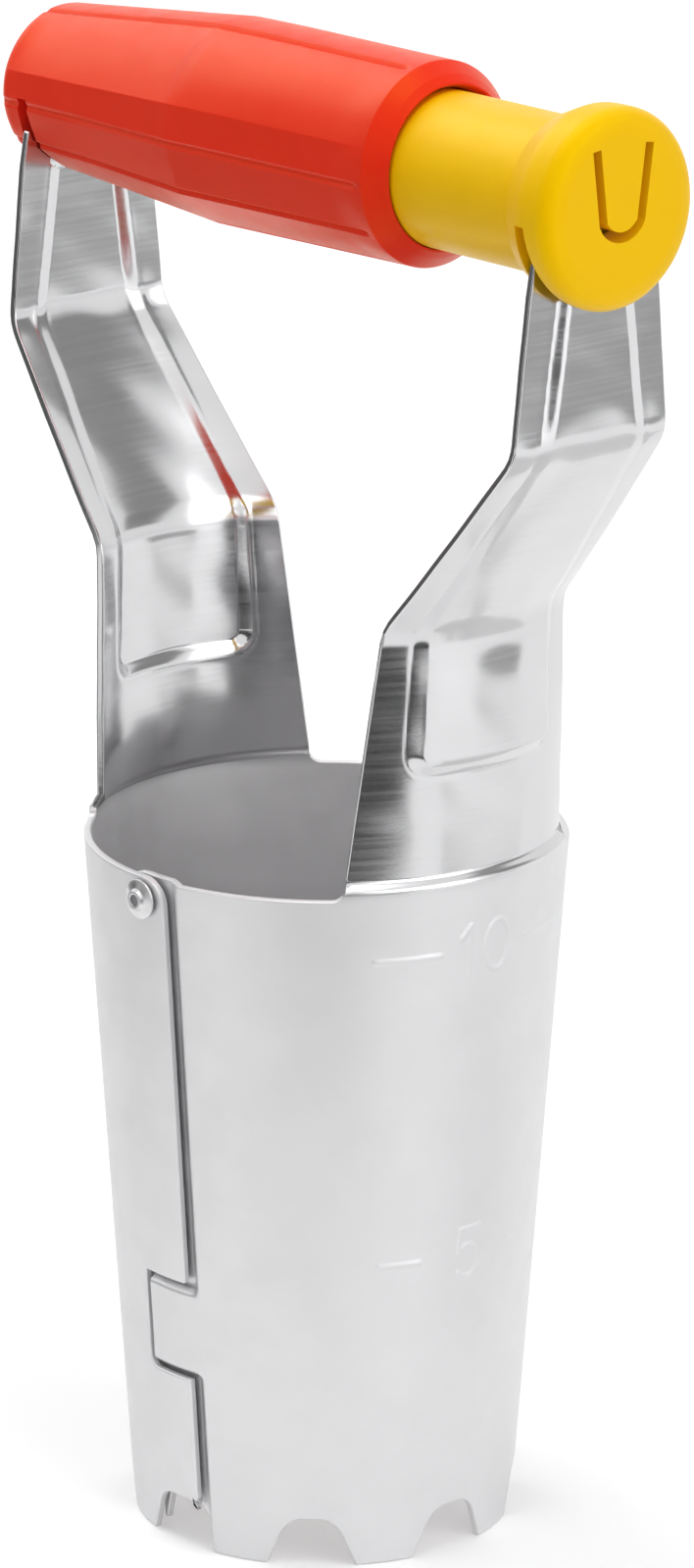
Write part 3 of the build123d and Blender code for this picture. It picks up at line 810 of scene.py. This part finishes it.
# Sockets of the handle's two ends, on the +X side of the plane between them
SLOT_INNER = 56.6
SLOT_OUTER = 58.6
SLOT_HALF = 20.0
SLOT_OVERLAP = 1.0
SLOT_PLAY = 0.4
SLOT_LOW = 187.6
SLOT_SHOULDER = 216.9
SLOT_HIGH = 225.4
SLOT_TILT = math.tan(math.radians(6.6))
TONGUE_SLOT_HALF = 6.9
PANEL_SLOT_HALF = 7.4
PANEL_SLOT_HIGH = 206.4
NIB_RADIUS = 2.0
NIB_REACH = 0.6
SLIT_WIDTH = 1.15
SLIT_LOW = 1.6
SLIT_LOW_HALF = 3.5
SLIT_TIP = 3.6
SLIT_SLOPE = 0.09
SLIT_DEPTH = 15.0


def along_handle(along, u, v):
    """Point of a handle piece from its place along X and across it."""
    return (along, u, HANDLE_HEIGHT + v)


def leaning(x, z):
    """x of a slot's wall that leans with the arm about the handle's axis."""
    return x + SLOT_TILT * (HANDLE_HEIGHT - z)


def socket_tools(side):
    """Tools that cut the arm's slot into a handle end."""
    def place(u, v, w):
        return (side * u, w, v)

    def leaning_slot(outer, top):
        return [(SLOT_INNER, SLOT_LOW), (leaning(outer, SLOT_LOW), SLOT_LOW),
                (leaning(outer, top), top), (SLOT_INNER, top)]

    wide = leaning_slot(SLOT_OUTER, SLOT_SHOULDER)
    panel = leaning_slot(SLOT_OUTER + PANEL_DEPTH, PANEL_SLOT_HIGH)
    foot = SLOT_SHOULDER - SLOT_OVERLAP
    tongue = [(SLOT_INNER, foot), (leaning(SLOT_OUTER, SLOT_SHOULDER), foot),
              (SLOT_OUTER, HANDLE_HEIGHT), (SLOT_OUTER, SLOT_HIGH),
              (leaning(SLOT_INNER, SLOT_HIGH), SLOT_HIGH), (SLOT_INNER, HANDLE_HEIGHT)]
    return [
        prism(wide, -SLOT_HALF, SLOT_HALF, place),
        prism(panel, -PANEL_SLOT_HALF, PANEL_SLOT_HALF, place),
        prism(tongue, -TONGUE_SLOT_HALF, TONGUE_SLOT_HALF, place),
    ]


def slit_tool(side, top, top_half):
    """Tool that cuts the U-shaped slit round the snap finger, out through the end face."""
    def place(u, v, w):
        return along_handle(side * w, u, v)

    depth = SLIT_TIP - SLIT_LOW
    radius = (SLIT_LOW_HALF**2 + depth**2) / (2 * depth)
    swing = math.asin(SLIT_LOW_HALF / radius)
    centre = radius - SLIT_TIP
    angles = np.linspace(-swing, swing, num=15)
    bend = [(radius * math.sin(a), centre - radius * math.cos(a)) for a in angles]
    path = np.array([(-top_half, top), *bend, (top_half, top)])
    along = np.gradient(path, axis=0)
    along[0], along[-1] = path[1] - path[0], path[-1] - path[-2]
    along /= np.linalg.norm(along, axis=1, keepdims=True)
    across = np.column_stack((-along[:, 1], along[:, 0]))
    inner = path + across * SLIT_WIDTH / 2
    outer = (path - across * SLIT_WIDTH / 2)[::-1]
    sloped = (path - across * (SLIT_WIDTH / 2 + SLIT_SLOPE * SLIT_DEPTH))[::-1]
    near, far = np.concatenate((inner, outer)), np.concatenate((inner, sloped))
    return prism(near, SLOT_OUTER, SLOT_OUTER + SLIT_DEPTH, place, far)


def nib(side):
    """Nib of the snap finger, in the arm's latch hole."""
    def place(along, u, v):
        return along_handle(side * along, u, v)

    high = SLOT_OUTER + NIB_REACH
    low = SLOT_INNER + SLOT_PLAY - NIB_REACH
    corners = [(low, 0, 0), (low, NIB_RADIUS, SMALL_ROUND), (high, NIB_RADIUS, 0), (high, 0, 0)]
    return turned("nib", round_corners(corners), place, even_angles(count=32))


# Plunger, along X
PLUNGER_NOSE_X = -6.0
PLUNGER_BORE = 9.4
PLUNGER_RADIUS = 11.8
PLUNGER_BORE_END_X = 49.5
PLUNGER_NOSE_ROUND = 0.8
COLLAR_X = 53.2
COLLAR_RAMP = 0.6
COLLAR_RADIUS = 13.3
COLLAR_FOOT_ROUND = 0.3
FLARE_END_X = 57.5
FLARE_ROUND = 5.0
CAP_RADIUS = 15.1
CAP_FACE_X = 63.7
CAP_BROW_X = 63.2
CAP_BROW_RADIUS = 11.6
CAP_BROW_ROUND = 8.0
CAP_ROUND = 2.5
FINGER_TOP = 9.6
FINGER_TOP_HALF = 5.0

plunger = turned("plunger_moulding", round_corners([
    (PLUNGER_BORE_END_X, 0, 0),
    (PLUNGER_BORE_END_X, PLUNGER_BORE, SMALL_ROUND),
    (PLUNGER_NOSE_X, PLUNGER_BORE, SMALL_ROUND),
    (PLUNGER_NOSE_X, PLUNGER_RADIUS, PLUNGER_NOSE_ROUND),
    (COLLAR_X - COLLAR_RAMP, PLUNGER_RADIUS, COLLAR_FOOT_ROUND),
    (COLLAR_X, COLLAR_RADIUS, SMALL_ROUND),
    (FLARE_END_X, CAP_RADIUS, FLARE_ROUND),
    (CAP_BROW_X, CAP_RADIUS, CAP_ROUND),
    (CAP_FACE_X, CAP_BROW_RADIUS, CAP_BROW_ROUND),
    (CAP_FACE_X, 0, 0),
]), along_handle, even_angles(count=128))
combine(plunger, [*socket_tools(1), slit_tool(1, FINGER_TOP, FINGER_TOP_HALF)], [nib(1)])
smooth(plunger, angle=30)
hand_over(plunger, "plunger", "plunger")

# Grip, along X: pillowed facets, a crease where its taper starts, and a bevelled lip
GRIP_FAR_X = -63.8
GRIP_FAR_RADIUS = 12.45
GRIP_FAR_ROUND = 2.6
GRIP_MIDDLE_X = -20.8
GRIP_MIDDLE_RADIUS = 16.05
GRIP_MIDDLE_ROUND = 10.0
GRIP_NARROWING = 0.055
NARROWING_REACH = 25.0
LIP_NARROWING = 0.7
FACET_FADE = 5.0
LIP_FADE = 8.0
TOP_EDGE = 107
SOFT_EDGE = 163
SIDE_EDGE = 186
LOW_EDGE = 217
BOTTOM_EDGE = 252
TOP_PILLOW = 0.9
WIDE_PILLOWS = (0.4, 0.62, 0.85)
WIDE_PILLOW_STOPS = (-22.5, -18.5, 0.0)
SIDE_PILLOW = 0.1
LOW_PILLOW = 0.4
GROOVE_DEPTH = 0.55
GROOVE_REACH = 0.72
GROOVE_FADE = 5
LIP_START_X = 23.7
LIP_START_RADIUS = 15.9
LIP_RIDGE_X = 25.8
LIP_RIDGE_RADIUS = 14.1
LIP_END_X = 26.8
LIP_FACE_RADIUS = 13.0
LIP_INNER_RADIUS = 12.65
LIP_CHAMFER = 1.6
LIP_FACE_ROUND = 0.2
LIP_INNER_ROUND = 0.1
GRIP_BORE = 12.1
GRIP_BORE_END_X = -33.5
POCKET_RADIUS = 9.1
POCKET_END_X = -49.5
GRIP_FINGER_TOP = 6.4
GRIP_FINGER_TOP_HALF = 4.4
GRIP_LEVEL_X = -10.0
FAR_DROOP = 0.9
LIP_TOP_RISE = 0.1
LIP_LOW_RISE = 0.7
BORE_SPARE = 0.1
ROW_SPARE = 0.05

grooved_edges = [TOP_EDGE, SIDE_EDGE, LOW_EDGE, BOTTOM_EDGE]
grooved_edges += [(180 - edge) % 360 for edge in grooved_edges]
grip_edges = sorted([SOFT_EDGE, 180 - SOFT_EDGE, *grooved_edges])
grip_edges = np.radians([*grip_edges, grip_edges[0] + 360])
grooved_edges = np.radians(grooved_edges)


def in_bore(along, radius):
    """Whether a place belongs to the grip's bores, which are round and straight."""
    bore = POCKET_RADIUS if along < GRIP_BORE_END_X else GRIP_BORE
    return POCKET_END_X <= along < LIP_END_X - BORE_SPARE and radius < bore + BORE_SPARE


def grip_outline(along, radius, angles):
    """Radii of the grip at one place along it: facets that fade out at both ends, and round bores."""
    if in_bore(along, radius):
        return np.full(len(angles), radius)
    wide = np.interp(along, WIDE_PILLOW_STOPS, WIDE_PILLOWS)
    lower = [SIDE_PILLOW, SIDE_PILLOW, LOW_PILLOW]
    pillows = np.array([wide, TOP_PILLOW, wide, *lower, TOP_PILLOW, *lower[::-1]])
    angles = (angles - grip_edges[0]) % (2 * math.pi) + grip_edges[0]
    facet = np.clip(np.searchsorted(grip_edges, angles, side="right") - 1, 0, len(pillows) - 1)
    half = (grip_edges[facet + 1] - grip_edges[facet]) / 2
    flat = np.cos(half) / np.cos(angles - grip_edges[facet] - half)
    facets = radius * (flat + (1 - flat) * pillows[facet])
    beside = radius * np.min(np.abs(angles[:, None] - grooved_edges), axis=1)
    groove = GROOVE_DEPTH * np.maximum(1 - beside / GROOVE_REACH, 0)
    share = float(smooth_step(min((along - GRIP_FAR_X) / FACET_FADE, (LIP_START_X - along) / LIP_FADE)))
    narrowing = GRIP_NARROWING * radius * float(smooth_step((along - GRIP_FAR_X) / NARROWING_REACH))
    if along > LIP_START_X:
        narrowing = min(narrowing, LIP_NARROWING * (radius - GRIP_BORE))
    outside = facets * share + radius * (1 - share)
    return outside - groove * smooth_step(GROOVE_FADE * share) - narrowing * np.cos(angles) ** 2


def grip_place(along, u, v):
    """Point of the grip, whose outside lies askew: low at the far end, high at the lip's lower side."""
    radius = math.hypot(u, v)
    if in_bore(along, radius):
        return along_handle(along, u, v)
    if along < GRIP_LEVEL_X:
        shift = FAR_DROOP * (along - GRIP_LEVEL_X) / (GRIP_LEVEL_X - GRIP_FAR_X)
    else:
        rise = np.interp(v / radius, (-1, 1), (LIP_LOW_RISE, LIP_TOP_RISE))
        shift = rise * (along - GRIP_LEVEL_X) / (LIP_END_X - GRIP_LEVEL_X)
    return along_handle(along, u, v + shift)


def along_rows(profile, stops):
    """Profile with extra rows where its outer line passes the given places."""
    rows = [profile[0]]
    for before, after in zip(profile, profile[1:]):
        for x in stops:
            if before[0] + ROW_SPARE < x < after[0] - ROW_SPARE:
                rows.append((x, np.interp(x, *zip(before, after))))
        rows.append(after)
    return rows


# Mesh of the grip: angles from each facet's edges, and rows along it, closer at the crease and the lip
FACET_STEPS = np.radians((0.6, 1.2, 1.9, 2.7, 3.6, 4.8, 6.4, 8.4, 11, 14.3, 18, 22.5))
COARSE_ROWS = np.arange(-61, 14, 3.0)
CREASE_ROWS = np.arange(-25, -15, 0.5)
LIP_ROWS = np.arange(14, 24, 0.5)
grip_angles = []
for before, after in zip(grip_edges, grip_edges[1:]):
    steps = FACET_STEPS[FACET_STEPS < (after - before) / 2 - FACET_STEPS[0]]
    grip_angles += [before, *(before + steps), (before + after) / 2, *(after - steps[::-1])]
grip_angles = np.array(grip_angles)
grip_stops = sorted({*COARSE_ROWS, *CREASE_ROWS, *LIP_ROWS})
grip = turned("grip_moulding", along_rows(round_corners([
    (GRIP_FAR_X, 0, 0),
    (GRIP_FAR_X, GRIP_FAR_RADIUS, GRIP_FAR_ROUND),
    (GRIP_MIDDLE_X, GRIP_MIDDLE_RADIUS, GRIP_MIDDLE_ROUND),
    (LIP_START_X, LIP_START_RADIUS, SMALL_ROUND),
    (LIP_RIDGE_X, LIP_RIDGE_RADIUS, SMALL_ROUND),
    (LIP_END_X, LIP_FACE_RADIUS, LIP_FACE_ROUND),
    (LIP_END_X, LIP_INNER_RADIUS, LIP_INNER_ROUND),
    (LIP_END_X - LIP_CHAMFER, GRIP_BORE, 0),
    (GRIP_BORE_END_X, GRIP_BORE, 0),
    (GRIP_BORE_END_X, POCKET_RADIUS, 0),
    (POCKET_END_X, POCKET_RADIUS, 0),
    (POCKET_END_X, 0, 0),
]), grip_stops), grip_place, grip_angles, grip_outline)
combine(grip, [*socket_tools(-1), slit_tool(-1, GRIP_FINGER_TOP, GRIP_FINGER_TOP_HALF)], [nib(-1)])
smooth(grip, angle=30)
hand_over(grip, "grip", "grip")

# Return spring, from the grip's pocket to the end of the plunger's bore
COIL_RADIUS = 7.5
COIL_TURNS = 12
COIL_STEPS = 36
COIL_SEAT = 0.1
WIRE_RADIUS = 0.7
WIRE_SIDES = 12


def wire_ring(turn, start, pitch):
    """Points round the spring's wire, in turns from its start."""
    angle = 2 * math.pi * turn
    cosine, sine = math.cos(angle), math.sin(angle)
    outward = np.array((0, cosine, sine))
    onward = np.array((pitch / (2 * math.pi), -COIL_RADIUS * sine, COIL_RADIUS * cosine))
    across = np.cross(onward / np.linalg.norm(onward), outward)
    centre = np.array(along_handle(start + pitch * turn, 0, 0)) + COIL_RADIUS * outward
    sides = [math.cos(a) * outward + math.sin(a) * across for a in even_angles(WIRE_SIDES)]
    return [centre + WIRE_RADIUS * side for side in sides]


coil_start = POCKET_END_X + WIRE_RADIUS + COIL_SEAT
coil_pitch = (PLUNGER_BORE_END_X - WIRE_RADIUS - COIL_SEAT - coil_start) / COIL_TURNS
coil_rings = COIL_TURNS * COIL_STEPS + 1
wire_points = []
for step in range(coil_rings):
    wire_points += wire_ring(step / COIL_STEPS, coil_start, coil_pitch)
wire_rows = [tuple(range(k * WIRE_SIDES, (k + 1) * WIRE_SIDES)) for k in range(coil_rings)]
spring = solid("spring_wire", wire_points, [wire_rows[0], wire_rows[-1], *bridges(wire_rows)])
smooth(spring, angle=40)
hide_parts("return_spring")
spring_ends = [tuple(MM * Vector(along_handle(x, 0, 0))) for x in (POCKET_END_X, PLUNGER_BORE_END_X)]
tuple(spring_ends[0])
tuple(spring_ends[1])
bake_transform(spring)

# Where most of a noise's values lie
NOISE_RANGE = (0.3, 0.7)


def feed(tree, node, **inputs):
    """Links a node's inputs to other nodes' outputs, or sets them to values."""
    for name, value in inputs.items():
        socket = node.inputs[name.replace("_", " ")]
        if isinstance(value, bpy.types.NodeSocket):
            tree.links.new(value, socket)
        else:
            socket.default_value = value


def add_node(tree, kind, **inputs):
    """New shader node with its inputs fed."""
    node = tree.nodes.new("ShaderNode" + kind)
    feed(tree, node, **inputs)
    return node


class Material:
    """Node material with a few helpers round its Principled shader."""

    def __init__(self, name, **values):
        self.data = bpy.data.materials.new(name)
        self.data.use_nodes = True
        self.tree = self.data.node_tree
        self.shader = self.tree.nodes["Principled BSDF"]
        self.place = add_node(self.tree, "TexCoord").outputs["Object"]
        self.set(**values)

    def set(self, **values):
        """Sets or links the shader's inputs."""
        feed(self.tree, self.shader, **values)

    def noise(self, size, stretch=(1, 1, 1), detail=2.0):
        """Noise whose blotches have a size in millimetres, drawn out along the axes."""
        scale = [1 / (MM * size * s) for s in stretch]
        vector = add_node(self.tree, "Mapping", Vector=self.place, Scale=scale).outputs["Vector"]
        return add_node(self.tree, "TexNoise", Vector=vector, Scale=1.0, Detail=detail).outputs["Fac"]

    def spread(self, value, low, high, to_low, to_high):
        """Maps a value's range to another, held at the ends."""
        node = add_node(self.tree, "MapRange", Value=value, From_Min=low, From_Max=high, To_Min=to_low,
                        To_Max=to_high)
        node.interpolation_type = "SMOOTHSTEP"
        return node.outputs["Result"]

    def vary(self, noise, low, high):
        """Number that follows a noise."""
        return self.spread(noise, *NOISE_RANGE, low, high)

    def mix_colours(self, share, first, second):
        """Colour between two that nodes give."""
        node = add_node(self.tree, "Mix", Factor=share)
        node.data_type = "RGBA"
        sockets = [s for s in node.inputs if s.type == "RGBA"]
        for socket, value in zip(sockets, (first, second)):
            self.tree.links.new(value, socket)
        return next(s for s in node.outputs if s.type == "RGBA")

    def colours(self, value, low, high):
        """Colour between two fixed ones."""
        node = add_node(self.tree, "ValToRGB", Fac=value)
        for element, colour in zip(node.color_ramp.elements, (low, high)):
            element.color = (*colour, 1)
        return node.outputs["Color"]

    def mottle(self, size, low, high):
        """Base colour in faint blotches of a size in millimetres."""
        self.set(Base_Color=self.colours(self.noise(size, detail=3), low, high))

    def roughen(self, size, low, high):
        """Roughness that varies in blotches of a size in millimetres."""
        self.set(Roughness=self.vary(self.noise(size), low, high))

    def bump(self, size, depth, strength=1.0, detail=2.0):
        """Fine relief, its size and depth in millimetres."""
        noise = self.noise(size, detail=detail)
        node = add_node(self.tree, "Bump", Height=noise, Distance=MM * depth, Strength=strength)
        self.set(Normal=node.outputs["Normal"])


def dress(piece, material):
    """Gives a piece its material."""
    piece.data.materials.clear()
    piece.data.materials.append(material.data)


# Zinc-plated sheet: satin on the tube, shinier on the arms, faintly brushed. The arms' base colour is a
# darker copy of the tube's, as painted shade
TUBE_FINISH_END = 109.5
ARM_FINISH_START = 112.0
steel = Material("zinc_steel")
height = add_node(steel.tree, "SeparateXYZ", Vector=steel.place).outputs["Z"]


def up_the_sheet(tube, arm):
    """Number that changes from the tube to the arms."""
    return steel.spread(height, MM * TUBE_FINISH_END, MM * ARM_FINISH_START, tube, arm)


blotches = steel.noise(size=9, detail=4)
tube_tone = steel.colours(blotches, low=(0.71, 0.71, 0.72), high=(0.77, 0.77, 0.78))
# Darker base colour on the arms: painted shade that dims what they mirror
painted_shade_arm_tone = steel.colours(blotches, low=(0.64, 0.64, 0.65), high=(0.7, 0.7, 0.71))
steel.set(Base_Color=steel.mix_colours(up_the_sheet(tube=0, arm=1), tube_tone, painted_shade_arm_tone))
tube_rough = steel.vary(steel.noise(size=5, detail=4), low=0.44, high=0.52)
arm_rough = steel.vary(steel.noise(size=0.6, stretch=(60, 60, 1), detail=3), low=0.14, high=0.18)
steel.set(Metallic=up_the_sheet(tube=0.8, arm=1.0), Roughness=up_the_sheet(tube_rough, arm_rough))
steel.bump(size=0.35, depth=0.004, strength=0.6)
dress(right_sheet, steel)
dress(left_sheet, steel)

# Aluminium rivets
rivet = Material("rivet_aluminium", Metallic=1.0)
rivet.mottle(size=1.2, low=(0.6, 0.6, 0.61), high=(0.76, 0.76, 0.77))
rivet.roughen(size=0.8, low=0.28, high=0.42)
dress(front_rivet, rivet)
dress(rear_rivet, rivet)

# Red and yellow mouldings, satin with a fine moulded grain
red = Material("red_plastic", Specular_IOR_Level=0.42, Specular_Tint=(1.0, 0.58, 0.0, 1.0))
red.set(Sheen_Weight=0.2, Sheen_Roughness=0.4, Sheen_Tint=(1.0, 0.55, 0.0, 1.0))
red.mottle(size=7, low=(0.82, 0.018, 0.01), high=(0.88, 0.024, 0.014))
red.roughen(size=3, low=0.3, high=0.36)
red.bump(size=0.3, depth=0.006, strength=0.5)
dress(grip, red)

yellow = Material("yellow_plastic", Specular_IOR_Level=0.5, Specular_Tint=(1.0, 0.92, 0.0, 1.0))
yellow.mottle(size=7, low=(0.92, 0.52, 0.001), high=(0.97, 0.57, 0.002))
yellow.roughen(size=3, low=0.36, high=0.44)
yellow.bump(size=0.3, depth=0.006, strength=0.5)
dress(plunger, yellow)

# Broken mandrel stubs, whose solids stay, and the spring's drawn wire
stub = Material("mandrel_steel", Metallic=1.0)
stub.mottle(size=0.5, low=(0.2, 0.2, 0.21), high=(0.4, 0.4, 0.41))
stub.roughen(size=0.4, low=0.35, high=0.6)
stub.bump(size=0.25, depth=0.03, detail=3)
dress(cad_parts["front_mandrel"], stub)
dress(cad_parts["rear_mandrel"], stub)

wire = Material("spring_wire", Metallic=1.0)
wire.mottle(size=3, low=(0.42, 0.42, 0.44), high=(0.6, 0.6, 0.62))
wire.roughen(size=1, low=0.25, high=0.4)
dress(spring, wire)

# Camera at the photograph's angle
CAMERA_AZIMUTH = 48.323
CAMERA_ELEVATION = 16.757
CAMERA_ROLL = 0.349
CAMERA_DISTANCE = 1202.42
CAMERA_TARGET = Vector((2.058, 2.311, 117.237))
CAMERA_LENS = 179.54
SENSOR_LONG_SIDE = 36.0

stand = Matrix.Translation(MM * CAMERA_TARGET)
for angle, axis in ((CAMERA_AZIMUTH, "Z"), (90 - CAMERA_ELEVATION, "X"), (CAMERA_ROLL, "Z")):
    stand @= Matrix.Rotation(math.radians(angle), 4, axis)
camera_data = bpy.data.cameras.new("camera")
camera_data.sensor_width = SENSOR_LONG_SIDE
camera_data.lens = CAMERA_LENS
camera = placed("camera", camera_data)
camera.matrix_world = stand @ Matrix.Translation((0, 0, MM * CAMERA_DISTANCE))
bpy.context.scene.camera = camera

# Pale floor, white to the camera
FLOOR_HALF = 4000.0
FLOOR_LIFT = 0.24
FAR_FLOOR_LIFT = 0.5
LIFT_START = 250.0
LIFT_END = 1200.0
FLOOR_GAP = 0.05


def flat_piece(name, corners):
    """Flat piece of the stage, corners in millimetres."""
    piece = placed(name, mesh_of(name, corners, [tuple(range(len(corners)))]))
    return piece


floor_sides = ((-1, -1), (1, -1), (1, 1), (-1, 1))
floor = flat_piece("floor", [(x * FLOOR_HALF, y * FLOOR_HALF, -FLOOR_GAP) for x, y in floor_sides])


def calculation(tree, operation, first, second):
    """Number worked out from two others."""
    node = add_node(tree, "Math")
    node.operation = operation
    tree.links.new(first, node.inputs[0])
    tree.links.new(second, node.inputs[1])
    return node.outputs[0]


def seen_or_mirrored(tree):
    """1 where the camera sees a thing itself or in a gloss, 0 for the light it gives."""
    path = add_node(tree, "LightPath")
    share = path.outputs["Is Camera Ray"]
    for name in ("Is Glossy Ray", "Is Transmission Ray"):
        share = calculation(tree, "MAXIMUM", share, path.outputs[name])
    return share


pale = Material("pale_floor", Roughness=0.9, Specular_IOR_Level=0.1, Emission_Color=(1, 1, 1, 1))
pale.set(Base_Color=pale.colours(pale.noise(size=400), low=(0.84, 0.84, 0.84), high=(0.88, 0.88, 0.88)))
away = add_node(pale.tree, "VectorMath", Vector=pale.place)
away.operation = "LENGTH"
lift = pale.spread(away.outputs["Value"], MM * LIFT_START, MM * LIFT_END, FLOOR_LIFT, FAR_FLOOR_LIFT)
shown = seen_or_mirrored(pale.tree)
pale.set(Emission_Strength=calculation(pale.tree, "MULTIPLY", lift, shown))
dress(floor, pale)

# Even white surround, weaker as light than as it shows
SURROUND_LIGHT = 0.42
SURROUND_SHOWN = 1.0
world = bpy.data.worlds.new("studio")
bpy.context.scene.world = world
world.use_nodes = True
surround = world.node_tree.nodes["Background"]
shown = seen_or_mirrored(world.node_tree)
level = add_node(world.node_tree, "MapRange", Value=shown, To_Min=SURROUND_LIGHT, To_Max=SURROUND_SHOWN)
feed(world.node_tree, surround, Color=(1, 1, 1, 1), Strength=level.outputs["Result"])


def lamp(name, place, aim, size, power):
    """Soft square lamp, places in millimetres."""
    data = bpy.data.lights.new(name, "AREA")
    data.size = MM * size
    data.energy = power
    light = placed(name, data)
    light.location = MM * Vector(place)
    light.rotation_euler = (Vector(aim) - Vector(place)).to_track_quat("-Z", "Y").to_euler()


lamp("key", place=(-900, -100, 1150), aim=(0, 0, 150), size=900, power=5.6)
lamp("overhead", place=(100, -150, 1350), aim=(0, 0, 100), size=900, power=6.5)
lamp("side", place=(1400, 200, 750), aim=(0, 0, 150), size=1300, power=8.0)

# Grey cards for the arms to mirror, standing or level
CARD_NOISE = (0.2, 0.8)
CARD_VARIATION = (0.85, 1.15)


def card(name, corners, tone):
    """Flat card that only shows in gloss."""
    piece = flat_piece(name, corners)
    piece.visible_camera = False
    piece.visible_diffuse = False
    piece.visible_shadow = False
    piece.visible_transmission = False
    paint = Material(name, Base_Color=(0, 0, 0, 1), Roughness=1.0, Specular_IOR_Level=0.0)
    tones = [share * tone for share in CARD_VARIATION]
    strength = paint.spread(paint.noise(size=300), *CARD_NOISE, *tones)
    paint.set(Emission_Color=(1, 1, 1, 1), Emission_Strength=strength)
    dress(piece, paint)


def upright_card(name, start, end, low, high, tone):
    """Standing card between two places on the floor."""
    card(name, [(*start, low), (*end, low), (*end, high), (*start, high)], tone)


def lying_card(name, corners, tone, height=2):
    """Level card over these places on the floor."""
    card(name, [(*corner, height) for corner in corners], tone)


side_corners = [(355, -8), (560, -30), (560, -210), (418, -372), (285, -521), (69, -329)]
under_corners = [(-110, -60), (10, -60), (10, -24), (-110, -24)]
upright_card("back_card", start=(190, 660), end=(450, 495), low=280, high=900, tone=0.32)
upright_card("front_card", start=(-950, -60), end=(-40, -950), low=0, high=360, tone=0.12)
lying_card("side_card", side_corners, tone=0.04)
lying_card("far_card", [(760, 75), (2550, 250), (2520, -440), (748, -130)], tone=0.05)
lying_card("near_card", [(127, 26), (349, 85), (154, 306), (64, 83)], tone=0.86)
lying_card("left_card", [(-180, -312), (-425, -736), (-770, -359), (-326, -152)], tone=0.1)
upright_card("room_card", start=(838, -411), end=(340, -972), low=0, high=330, tone=0.05)
lying_card("floor_card", [(480, 270), (980, 520), (600, 925), (320, 450)], tone=0.42)
lying_card("under_card", under_corners, tone=0.1, height=185)

bpy.context.scene.view_settings.view_transform = "Standard"
